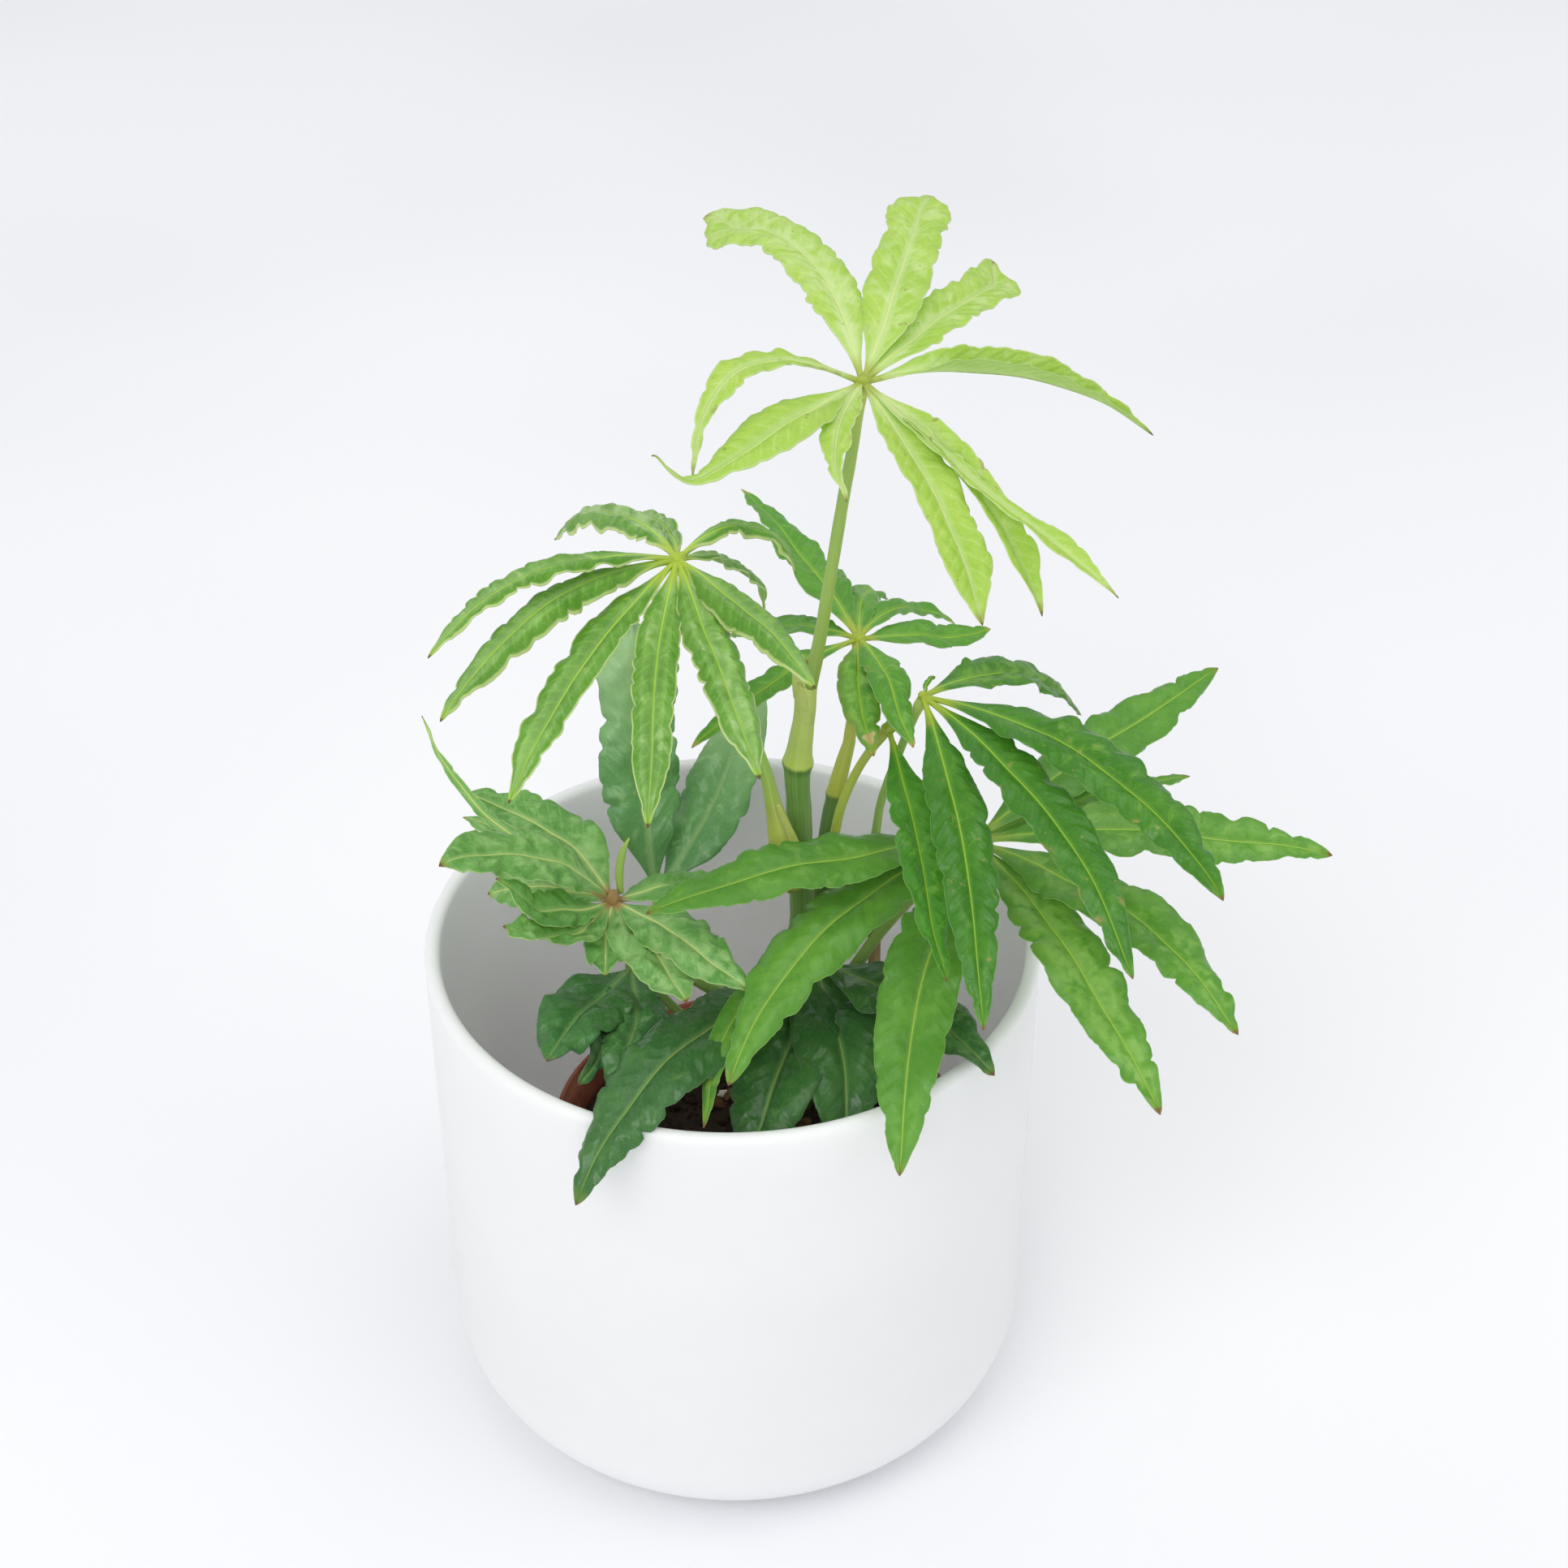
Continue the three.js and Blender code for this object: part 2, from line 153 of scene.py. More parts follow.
class Finish:  # a material and the nodes in it
    def __init__(self, name):
        self.material = bpy.data.materials.new(name)
        self.material.use_nodes = True
        self.nodes = self.material.node_tree.nodes
        self.nodes.clear()

    # settings go on the node first, then values, colour codes and links go into its sockets
    def add(self, kind, settings=None, sockets=None, output=0):
        node = self.nodes.new(kind)
        for key, value in (settings or {}).items():
            if key == "stops":
                while len(node.color_ramp.elements) < len(value):
                    node.color_ramp.elements.new(0.5)
                for element, (place, colour) in zip(node.color_ramp.elements, value):
                    element.position, element.color = place, colour
            else:
                setattr(node, key, value)
        for key, value in (sockets or {}).items():
            if isinstance(value, Wire):
                self.material.node_tree.links.new(value.socket, node.inputs[key])
            else:
                node.inputs[key].default_value = paint(value) if isinstance(value, str) else value
        return Wire(self, node.outputs[output])

    def mix(self, mask, first, second):  # of two colours
        settings = {"data_type": "RGBA", "clamp_factor": True}
        return self.add("ShaderNodeMix", settings, {0: mask, 6: first, 7: second}, output=2)

    def ease(self, value, low, high):  # 0 below low, 1 above high, smooth between
        sockets = {0: value, 1: low, 2: high, 3: 0.0, 4: 1.0}
        return self.add("ShaderNodeMapRange", {"interpolation_type": "SMOOTHSTEP"}, sockets)

    def attribute(self, name):
        return self.add("ShaderNodeAttribute", {"attribute_name": name}, output=1)

    def split(self, vector):
        return [self.add("ShaderNodeSeparateXYZ", None, {0: vector}, output=i) for i in range(3)]

    def objectPlace(self):
        return self.add("ShaderNodeTexCoord", output=3)

    def grain(self, place, scale, detail=3.0, roughness=0.5, distortion=0.0):
        sockets = {"Vector": place, "Scale": scale, "Detail": detail, "Roughness": roughness,
                   "Distortion": distortion}
        return self.add("ShaderNodeTexNoise", None, sockets)

    def bump(self, height, strength, distance):
        sockets = {"Strength": strength, "Distance": distance, "Height": height}
        return self.add("ShaderNodeBump", None, sockets)

    def finish(self, surface):
        output = self.nodes.new("ShaderNodeOutputMaterial")
        self.material.node_tree.links.new(surface.socket, output.inputs["Surface"])
        return self.material

    def principled(self, sockets):
        return self.add("ShaderNodeBsdfPrincipled", None, sockets)


# Mesh helpers


def setAttribute(mesh, name, values):  # one vector for each vertex
    layer = mesh.attributes.new(name, "FLOAT_VECTOR", "POINT")
    layer.data.foreach_set("vector", np.asarray(values, np.float32).ravel())


def buildMesh(name, points, faces, attributes=None, faceMaterials=None):
    mesh = bpy.data.meshes.new(name)
    mesh.from_pydata(np.asarray(points, float).reshape(-1, 3).tolist(), [], faces)
    for key, values in (attributes or {}).items():
        setAttribute(mesh, key, values)
    if faceMaterials is not None:
        mesh.polygons.foreach_set("material_index", np.asarray(faceMaterials, np.int32))
    work = bmesh.new()
    work.from_mesh(mesh)
    bmesh.ops.recalc_face_normals(work, faces=work.faces)
    work.to_mesh(mesh)
    work.free()
    mesh.polygons.foreach_set("use_smooth", np.full(len(mesh.polygons), True))
    mesh.update()
    return mesh


def nodeName(name):  # "mainStem" is made for the frame's "main_stem"
    return "".join("_" + letter.lower() if letter.isupper() else letter for letter in name)


def addPiece(name, mesh, nodes, materials):
    piece = bpy.data.objects.new(name, mesh)
    bpy.context.scene.collection.objects.link(piece)
    for material in materials:
        mesh.materials.append(material)
    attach(piece, body)
    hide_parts(*nodes)
    return piece


class Shell:  # gathers points, faces and attributes of several closed forms
    def __init__(self, *attributeNames):
        self.points, self.faces, self.kinds = [], [], []
        self.attributes = {name: [] for name in attributeNames}
        self.count = 0

    def add(self, points, faces, kind=0, **attributes):
        points = np.asarray(points, float).reshape(-1, 3)
        self.points.append(points)
        self.faces.extend([tuple(i + self.count for i in face) for face in faces])
        self.kinds.extend([kind] * len(faces))
        for name, values in attributes.items():
            self.attributes[name].append(np.broadcast_to(np.asarray(values, float), (len(points), 3)))
        self.count += len(points)

    def mesh(self, name):
        attributes = {key: np.concatenate(values) for key, values in self.attributes.items()}
        return buildMesh(name, np.concatenate(self.points), self.faces, attributes, self.kinds)


# A cubic through values at knots, read at samples. Values may be numbers or vectors.
def smoothRow(knots, values, samples):
    knots, values = np.asarray(knots, float), np.asarray(values, float)
    steps = np.diff(knots)
    shape = (-1,) + (1,) * (values.ndim - 1)
    slopes = np.diff(values, axis=0) / steps.reshape(shape)
    inner = slopes[:-1] * steps[1:].reshape(shape) + slopes[1:] * steps[:-1].reshape(shape)
    inner = inner / (steps[1:] + steps[:-1]).reshape(shape)
    tangents = np.concatenate([slopes[:1], inner, slopes[-1:]])
    cell = np.clip(np.searchsorted(knots, samples, side="right") - 1, 0, len(steps) - 1)
    t = ((samples - knots[cell]) / steps[cell]).reshape(shape)
    size = steps[cell].reshape(shape)
    fromLast = (2 * t**3 - 3 * t**2 + 1) * values[cell] + (t**3 - 2 * t**2 + t) * size * tangents[cell]
    toNext = (3 * t**2 - 2 * t**3) * values[cell + 1] + (t**3 - t**2) * size * tangents[cell + 1]
    return fromLast + toNext


def unit(vectors):
    return vectors / np.maximum(np.linalg.norm(vectors, axis=-1, keepdims=True), 1e-12)


def ease(value, low, high):
    t = np.clip((value - low) / (high - low), 0, 1)
    return t * t * (3 - 2 * t)


def ripple(rng, samples, waves):  # a sum of sine waves, [cycles, height] each
    total = np.zeros_like(samples)
    for cycles, height in waves:
        total += height * np.sin(turn * (samples * cycles * rng.uniform(0.9, 1.1) + rng.random()))
    return total


def tubeFaces(rows, around):  # rings of points, with one point at each end
    faces = []
    for i in range(rows - 1):
        for k in range(around):
            a, b = i * around + k, i * around + (k + 1) % around
            faces.append((a, b, b + around, a + around))
    first, last, top = rows * around, rows * around + 1, (rows - 1) * around
    for k in range(around):
        faces.append((first, (k + 1) % around, k))
        faces.append((last, top + k, top + (k + 1) % around))
    return faces


# A profile of (radius, height) in metres turned round a vertical axis at centre, with both
# ends on the axis.
def turned(profile, centre, around, wobble=None):
    angles = np.arange(around) * turn / around
    rings = []
    for radius, height in profile[1:-1]:
        out = np.full(around, radius)
        if wobble is not None:
            out = out + wobble(angles, height)
        x, y = centre[0] + out * np.cos(angles), centre[1] + out * np.sin(angles)
        rings.append(np.stack([x, y, np.full(around, height)], axis=1))
    ends = [(centre[0], centre[1], profile[0][1]), (centre[0], centre[1], profile[-1][1])]
    return np.concatenate(rings + [np.array(ends)]), tubeFaces(len(rings), around)


def arc(centreRadius, centreHeight, radius, start, end, count):  # in degrees, for a turned profile
    angles = [math.radians(start + (end - start) * i / count) for i in range(count + 1)]
    return [(centreRadius + radius * math.cos(a), centreHeight + radius * math.sin(a)) for a in angles]


def lumpyBall(rng, centre, radius, squash, lumps, subdivisions):  # squash is by axis
    work = bmesh.new()
    bmesh.ops.create_icosphere(work, subdivisions=subdivisions, radius=1)
    offset = Vector((rng.uniform(-50, 50), rng.uniform(-50, 50), rng.uniform(-50, 50)))
    spin = Matrix.Rotation(rng.uniform(0, turn), 3, "Z") @ Matrix.Rotation(rng.uniform(-0.5, 0.5), 3, "X")
    points = []
    for v in work.verts:
        swell = 1 + lumps * noise.noise(v.co * 1.3 + offset)
        shaped = Vector(v.co[i] * swell * squash[i] * radius for i in range(3))
        points.append(spin @ shaped + Vector(centre))
    faces = [tuple(v.index for v in f.verts) for f in work.faces]
    work.free()
    return points, faces


# Outer pot

outerPotLook = {
    "around": 192,
    "corner": 30 * mm,
    "wall": 4.5 * mm,
    "floor": 6 * mm,
    "footRing": 3 * mm,
    "hollow": 0.8 * mm,  # of the base inside its foot ring
    "colour": "#f8f8f9",
    "shade": "#f2f2f4",
    "roughness": 0.34,
    "glow": 0.8,  # light soaks through the thin white wall
    "glowDepth": 10 * mm,
}


def outerPotMaterial(look):
    m = Finish("whiteGlaze")
    place = m.objectPlace()
    cloud = m.grain(place, 14.0, 3.0, 0.55)
    speckle = m.grain(place, 900.0, 2.0, 0.6)
    colour = m.mix(m.ease(cloud, 0.35, 0.7) * 0.6, look["colour"], look["shade"])
    height = cloud * 0.4 + speckle * 0.08
    surface = m.principled({
        "Base Color": colour,
        "Subsurface Weight": look["glow"],
        "Subsurface Radius": (1.0, 1.0, 1.0),
        "Subsurface Scale": look["glowDepth"],
        "Roughness": look["roughness"] + cloud * 0.1,
        "IOR": 1.47,
        "Coat Roughness": 0.12,
        "Coat Weight": 0.18,
        "Normal": m.bump(height, 0.12, 0.0006),
    })
    return m.finish(surface)


def outerPot(look):
    low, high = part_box("outer_pot")
    radius, top = high.x, high.z
    foot, rim = radius - look["corner"], look["wall"] / 2
    inside = look["corner"] - look["wall"]
    hollow, footRing = look["hollow"], look["footRing"]
    levels = [top * share for share in (0.3, 0.5, 0.7, 0.85)]
    profile = [(0, hollow), (foot - 3 * footRing, hollow)]
    profile += [(foot - 2 * footRing, 0.5 * mm), (foot - footRing, 0)]
    profile += arc(foot, look["corner"], look["corner"], -88, 0, 22)
    profile += [(radius, level) for level in levels]
    profile += arc(radius - rim, top - rim, rim, 0, 180, 12)
    profile += [(radius - look["wall"], level) for level in reversed(levels)]
    profile += arc(foot, look["floor"] + inside, inside, 0, -90, 18)
    profile += [(foot * 0.6, look["floor"]), (0, look["floor"])]
    points, faces = turned(profile, ((low.x + high.x) / 2, (low.y + high.y) / 2), look["around"])
    mesh = buildMesh("outerPot", points, faces)
    addPiece("outerPot", mesh, ["outer_pot"], [outerPotMaterial(look)])


outerPot(outerPotLook)
print("outer pot is made")

# Nursery pot

nurseryLook = {
    "around": 144,
    "wall": 1.2 * mm,
    "lip": 10 * mm,
    "baseRadius": 42 * mm,
    "holes": 6,
    "holeRadius": 3.5 * mm,
    "holeRing": 28 * mm,
    "colour": "#80402f",
    "worn": "#a5614a",
    "dark": "#6d3226",
    "dust": "#b08d78",
}


def nurseryMaterial(look):
    m = Finish("redBrownPlastic")
    place = m.objectPlace()
    cloud = m.grain(place, 40.0, 4.0, 0.6)
    fine = m.grain(place, 700.0, 3.0, 0.7)
    drawnOut = m.add("ShaderNodeMapping", None, {"Vector": place, "Scale": (1, 1, 0.15)})
    scuff = m.grain(drawnOut, 260.0, 4.0, 0.7)  # upright scuff marks
    colour = m.mix(m.ease(cloud, 0.35, 0.7), look["colour"], look["worn"])
    colour = m.mix(m.ease(fine, 0.5, 0.8) * 0.35, colour, look["dark"])
    colour = m.mix(m.ease(scuff, 0.62, 0.8) * 0.5, colour, look["dust"])
    surface = m.principled({
        "Base Color": colour,
        "Roughness": 0.42 + fine * 0.2,
        "IOR": 1.49,
        "Normal": m.bump(fine * 0.5 + scuff * 0.5, 0.25, 0.0003),
    })
    return m.finish(surface)


def cutHoles(piece, centre, look, height):  # drain holes through the base
    cutter = Shell()
    ring, radius = look["holeRing"], look["holeRadius"]
    below, above = height - 3 * mm, height + 3 * mm
    rod = [(0, below), (radius, below), (radius, above), (0, above)]
    for i in range(look["holes"]):
        angle = turn * i / look["holes"]
        place = (centre[0] + ring * math.cos(angle), centre[1] + ring * math.sin(angle))
        cutter.add(*turned(rod, place, 24))
    tool = bpy.data.objects.new("drainCutter", cutter.mesh("drainCutter"))
    bpy.context.scene.collection.objects.link(tool)
    cut = piece.modifiers.new("drainHoles", "BOOLEAN")
    cut.object, cut.operation, cut.solver = tool, "DIFFERENCE", "EXACT"
    ready = piece.evaluated_get(bpy.context.evaluated_depsgraph_get())
    finished = bpy.data.meshes.new_from_object(ready)
    piece.modifiers.clear()
    piece.data = finished
    bpy.data.objects.remove(tool)


def nurseryPot(look):
    low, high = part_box("nursery_pot")
    base, top, wall = low.z, high.z, look["wall"]
    radius, foot = (high.x - low.x) / 2, look["baseRadius"]
    centre = ((low.x + high.x) / 2, (low.y + high.y) / 2)
    bodyTop = top - look["lip"]
    corner, edge = 2 * mm, 0.8 * mm

    def side(height):  # outer radius of the body below the lip
        return foot + (radius - 2 * wall - foot) * (height - base) / (top - base)

    profile = [(0, base), (foot - 2 * corner, base)]
    profile += arc(foot - corner, base + corner, corner, -90, 0, 5)
    levels = [base + (bodyTop - base) * k / 8 for k in range(1, 8)]
    profile += [(side(level), level) for level in levels]
    profile += [(side(bodyTop), bodyTop - 0.5 * mm), (radius - wall, bodyTop)]
    profile += [(radius - 0.4 * mm, bodyTop + 0.4 * mm), (radius - 0.3 * mm, bodyTop + 0.45 * look["lip"])]
    profile += [(radius - 0.1 * mm, top - 1.4 * mm)]
    profile += arc(radius - edge, top - edge, edge, 0, 180, 7)
    profile += [(side(top) - 0.4 * mm, top - 1.6 * mm), (side(top - 4 * mm) - wall, top - 4 * mm)]
    profile += [(side(top - k * 10 * mm) - wall, top - k * 10 * mm) for k in range(1, 9)]
    profile += [(side(base + wall) - wall, base + wall), (foot * 0.8, base + wall), (0, base + wall)]

    def soft(angles, height):  # thin plastic is never quite round
        lift = ease(height, base, top)
        return lift * (0.5 * mm * np.sin(2 * angles + 0.7) + 0.22 * mm * np.sin(5 * angles) ** 3)

    points, faces = turned(profile, centre, look["around"], soft)
    mesh = buildMesh("nurseryPot", points, faces)
    piece = addPiece("nurseryPot", mesh, ["nursery_pot"], [nurseryMaterial(look)])
    cutHoles(piece, centre, look, base)


nurseryPot(nurseryLook)
print("nursery pot is made")

# Potting mix

soilLook = {
    "rings": 34,
    "around": 110,
    "seed": 11,
    "crumbs": 620,
    "chips": 46,
    "fibres": 34,
    "perlite": 16,
    "roughness": 1.7 * mm,  # how far the crumbs stand above the middle height
    "taper": 0.74,  # the bottom's radius as a share of the top's
    "dark": "#1d1510",
    "colour": "#33261c",
    "light": "#5a4533",
    "bark": "#6e4a30",
    "barkDark": "#3e281b",
    "fibre": "#8a6a48",
    "perliteDark": "#c9c1b2",
    "perliteColour": "#e4ded2",
    "perliteLight": "#f2eee6",
}


def soilMaterial(name, dark, middle, light):
    m = Finish(name)
    place = m.objectPlace()
    coarse = m.grain(place, 160.0, 5.0, 0.65)
    fine = m.grain(place, 900.0, 4.0, 0.75)
    colour = m.mix(m.ease(coarse, 0.3, 0.62), dark, middle)
    colour = m.mix(m.ease(fine, 0.52, 0.78), colour, light)
    surface = m.principled({
        "Base Color": colour,
        "Roughness": 0.82 + fine * 0.16,
        "Specular IOR Level": 0.25,
        "Normal": m.bump(coarse * 0.5 + fine * 0.5, 0.8, 0.0009),
    })
    return m.finish(surface)


def soilHeight(x, y, top):
    grain = noise.noise(Vector((x * 95, y * 95, 3.1))) * 1.3
    grain = grain + noise.noise(Vector((x * 260, y * 260, 7.7))) * 0.8
    drift = math.sin(x * 310 + 1) * math.cos(y * 270) + 0.7 * math.sin(x * 170 + y * 230)
    return top + (drift + grain) * mm


def pottingMix(look):
    rng = random.Random(look["seed"])
    low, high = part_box("potting_soil")
    centre = ((low.x + high.x) / 2, (low.y + high.y) / 2)
    radius, top = (high.x - low.x) / 2, high.z - look["roughness"]
    baseRadius = radius * look["taper"]
    rings, around, sideRings = look["rings"], look["around"], 7
    points = []

    def ringPlaces(ring):
        angles = [turn * i / around for i in range(around)]
        return [(centre[0] + ring * math.cos(a), centre[1] + ring * math.sin(a)) for a in angles]

    for k in range(sideRings):  # the side, from the bottom up
        share = k / (sideRings - 1)
        height = low.z + (top - 1.5 * mm - low.z) * share
        points += [(x, y, height) for x, y in ringPlaces(baseRadius + (radius - baseRadius) * share)]
    for k in range(rings - 1):  # the top, from the wall to the middle
        ring = radius * (1 - (k + 0.4) / (rings - 0.2))
        points += [(x, y, soilHeight(x, y, top)) for x, y in ringPlaces(ring)]
    points += [(*centre, low.z), (*centre, soilHeight(*centre, top))]
    shell = Shell()
    shell.add(points, tubeFaces(sideRings + rings - 1, around))

    def spot(margin):  # somewhere on top, not too near the wall
        ring, angle = (radius - margin) * math.sqrt(rng.random()), rng.uniform(0, turn)
        return centre[0] + ring * math.cos(angle), centre[1] + ring * math.sin(angle)

    for i in range(look["crumbs"]):
        x, y = spot(2 * mm)
        size = rng.choice([0.7, 0.9, 1.1, 1.5, 2.2]) * rng.uniform(0.8, 1.25) * mm
        height = soilHeight(x, y, top) + size * rng.uniform(-0.1, 0.5)
        squash = (1, rng.uniform(0.7, 1), rng.uniform(0.55, 0.9))
        shell.add(*lumpyBall(rng, (x, y, height), size, squash, lumps=0.7, subdivisions=1), kind=0)
    for i in range(look["chips"]):
        x, y = spot(6 * mm)
        length = rng.uniform(2.2, 4.6) * mm
        squash = (1, rng.uniform(0.3, 0.55), rng.uniform(0.16, 0.3))
        height = soilHeight(x, y, top) + 0.8 * mm
        shell.add(*lumpyBall(rng, (x, y, height), length, squash, lumps=0.9, subdivisions=2), kind=1)
    for i in range(look["fibres"]):
        x, y = spot(8 * mm)
        height = soilHeight(x, y, top) + 1.0 * mm
        length = rng.uniform(3, 7) * mm
        thin = (1, 0.06, 0.05)
        shell.add(*lumpyBall(rng, (x, y, height), length, thin, lumps=0.5, subdivisions=2), kind=2)
    for i in range(look["perlite"]):
        x, y = spot(4 * mm)
        height = soilHeight(x, y, top) + 0.7 * mm
        size = rng.uniform(0.9, 1.7) * mm
        rounded = (1, 0.85, 0.8)
        shell.add(*lumpyBall(rng, (x, y, height), size, rounded, lumps=0.6, subdivisions=2), kind=3)
    finishes = [
        soilMaterial("pottingMix", look["dark"], look["colour"], look["light"]),
        soilMaterial("barkChip", look["barkDark"], look["bark"], look["fibre"]),
        soilMaterial("rootFibre", look["bark"], look["fibre"], look["fibre"]),
        soilMaterial("perliteGrain", look["perliteDark"], look["perliteColour"], look["perliteLight"]),
    ]
    addPiece("pottingMix", shell.mesh("pottingMix"), ["potting_soil"], finishes)


pottingMix(soilLook)
print("potting mix is made")

# Stems and leaf stalks

# What the finishes of stems and stalks share. "along" holds colours by share of the length and
# drift is how far those wander.
stalkFinish = {
    "drift": 0.12, "streaks": 16.0, "streakStrength": 0.3, "specks": 0.1, "speck": "#8a7f48",
    "roughness": 0.34, "glow": 0.25, "relief": 0.3,
}


# Stalk surfaces carry stalkMap: millimetres along, turns around, share of the length.
def stalkMaterial(name, own):
    look = {**stalkFinish, **own}
    m = Finish(name)
    along, around, share = m.split(m.attribute("stalkMap"))
    place = m.objectPlace()
    streakPlace = m.add("ShaderNodeCombineXYZ", None, {0: along * 0.02, 1: around * look["streaks"]})
    streak = m.grain(streakPlace, 1.0, 3.0, 0.6)
    cloud = m.grain(place, 90.0, 4.0, 0.6)
    fine = m.grain(place, 1500.0, 2.0, 0.6)
    stops = [(at, paint(code)) for at, code in look["along"]]
    ramp = m.add("ShaderNodeValToRGB", {"stops": stops}, {0: share + (cloud - 0.5) * look["drift"]})
    colour = m.mix(m.ease(streak, 0.45, 0.75) * look["streakStrength"], ramp, look["streak"])
    colour = m.mix(m.ease(cloud, 0.5, 0.75) * 0.35, colour, look["blotch"])
    colour = m.mix(m.ease(fine, 0.6, 0.8) * look["specks"], colour, look["speck"])
    height = streak * 0.6 + cloud * 0.3 + fine * 0.1
    surface = m.principled({
        "Base Color": colour,
        "Roughness": look["roughness"] + cloud * 0.15,
        "Subsurface Weight": look["glow"],
        "Subsurface Radius": (0.6, 1.0, 0.25),
        "Subsurface Scale": 0.002,
        "Normal": m.bump(height, look["relief"], 0.0004),
    })
    return m.finish(surface)


# A round stalk through rows of [x, y, z, radius] in millimetres, with swellings of
# [share along, extra radius, spread] and low ridges along it. flat squashes it one way.
def stalkForm(rows, rng, around, spacing, ridges, ridgeCount, swellings=(), flat=0.0):
    rows = np.array(rows, float)
    places, radii = rows[:, :3], rows[:, 3]
    steps = np.sqrt(np.linalg.norm(np.diff(places, axis=0), axis=1))  # centripetal
    knots = np.concatenate([[0], np.cumsum(steps)])
    dense = np.linspace(0, knots[-1], 400)
    path = smoothRow(knots, places, dense)
    run = np.concatenate([[0], np.cumsum(np.linalg.norm(np.diff(path, axis=0), axis=1))])
    length = run[-1]
    count = max(12, int(length / spacing))
    wanted = np.linspace(0, length, count)
    samples = np.interp(wanted, run, dense)
    centres = smoothRow(knots, places, samples)
    radius = np.interp(samples, knots, radii)
    share = wanted / length
    for at, extra, spread in swellings:
        radius = radius + extra * np.exp(-((share - at) * length / spread) ** 2)
    radius = radius * (1 + ripple(rng, share, [(length / 22, 0.02), (length / 9, 0.012)]))
    tangents = unit(np.gradient(centres, axis=0))
    side = unit(np.cross(tangents[0], (0.3, 0.95, 0.1)))
    sides = []
    for tangent in tangents:
        side = unit(side - tangent * np.dot(side, tangent))
        sides.append(side)
    sides = np.array(sides)
    beside = np.cross(tangents, sides)

    endRadius, endRings = radius[-1], 4
    dome = tangents[-1] * endRadius * 0.5
    tip = centres[-1] + dome
    bends = [k / endRings * math.pi / 2 for k in range(1, endRings)]  # a rounded end
    centres = np.vstack([centres] + [tip - dome * (1 - math.sin(a)) for a in bends])
    radius = np.append(radius, [endRadius * math.cos(a) for a in bends])
    sides = np.vstack([sides] + [sides[-1]] * len(bends))
    beside = np.vstack([beside] + [beside[-1]] * len(bends))
    wanted = np.append(wanted, [length] * len(bends))
    share = np.append(share, [1.0] * len(bends))

    angles = np.arange(around) * turn / around
    wobble = 1 + ridges * np.cos(angles * ridgeCount + rng.uniform(0, turn))
    wobble = wobble + 0.5 * ridges * np.cos(angles * 3)
    ring = radius[:, None] * wobble[None, :]
    points = (centres[:, None, :] + ring[..., None] * np.cos(angles)[None, :, None] * sides[:, None, :]
              + (1 - flat) * ring[..., None] * np.sin(angles)[None, :, None] * beside[:, None, :])
    points = np.concatenate([points.reshape(-1, 3), [centres[0]], [tip]]) * mm
    turns = np.tile(np.arange(around) / around, len(centres))
    stalkMap = np.stack([np.repeat(wanted, around), turns, np.repeat(share, around)], axis=1)
    stalkMap = np.concatenate([stalkMap, [[0, 0, 0], [length, 0, 1]]])
    return points, tubeFaces(len(centres), around), stalkMap


# A thin sheath that hugs a stalk over part of the way round and flares at its free edges.
def sheathForm(rows, rng, opening, facing, thickness, flare):
    around, count = 26, 26
    rows = np.array(rows, float)
    knots = np.linspace(0, 1, len(rows))
    samples = np.linspace(0, 1, count)
    centres = smoothRow(knots, rows[:, :3], samples)
    radius = smoothRow(knots, rows[:, 3], samples)
    tangents = unit(np.gradient(centres, axis=0))
    side = unit(np.cross(tangents, (math.sin(facing), -math.cos(facing), 0.0)))
    front = np.cross(side, tangents)
    grid = []
    for i, s in enumerate(samples):
        gap = opening * (0.4 + 0.6 * s)
        angles = np.linspace(gap, turn - gap, around)
        nearEdge = np.exp(-((angles - gap) / 0.35) ** 2) + np.exp(-((turn - gap - angles) / 0.35) ** 2)
        wavy = ripple(rng, angles / turn, [(3, 0.02)])
        reach = radius[i] * (1 + flare * nearEdge * s + wavy)
        away = np.cos(angles)[:, None] * front[i] + np.sin(angles)[:, None] * side[i]
        grid.append(centres[i] + reach[:, None] * away)
    grid = np.array(grid)
    outward = unit(grid - centres[:, None, :])
    outer, inner = grid + outward * thickness / 2, grid - outward * thickness / 2
    points = np.concatenate([outer.reshape(-1, 3), inner.reshape(-1, 3)]) * mm
    turns = np.tile(np.arange(around) / around, count)
    stalkMap = np.stack([np.repeat(samples * 20, around), turns, np.repeat(samples, around)], axis=1)
    return points, stripFaces(count, around), np.concatenate([stalkMap, stalkMap])


def stripFaces(rows, columns):  # two sheets of points, upper then lower, closed round their rim
    below = rows * columns
    faces = []
    for i in range(rows - 1):
        for j in range(columns - 1):
            a = i * columns + j
            faces.append((a, a + 1, a + columns + 1, a + columns))
            faces.append((below + a, below + a + columns, below + a + columns + 1, below + a + 1))
        left, right = i * columns, i * columns + columns - 1
        faces.append((left, left + columns, below + left + columns, below + left))
        faces.append((right, below + right, below + right + columns, right + columns))
    last = (rows - 1) * columns
    for j in range(columns - 1):
        faces.append((j + 1, j, below + j, below + j + 1))
        faces.append((last + j, last + j + 1, below + last + j + 1, below + last + j))
    return faces


stemFoot = 85.4  # the stems start this high, inside the soil

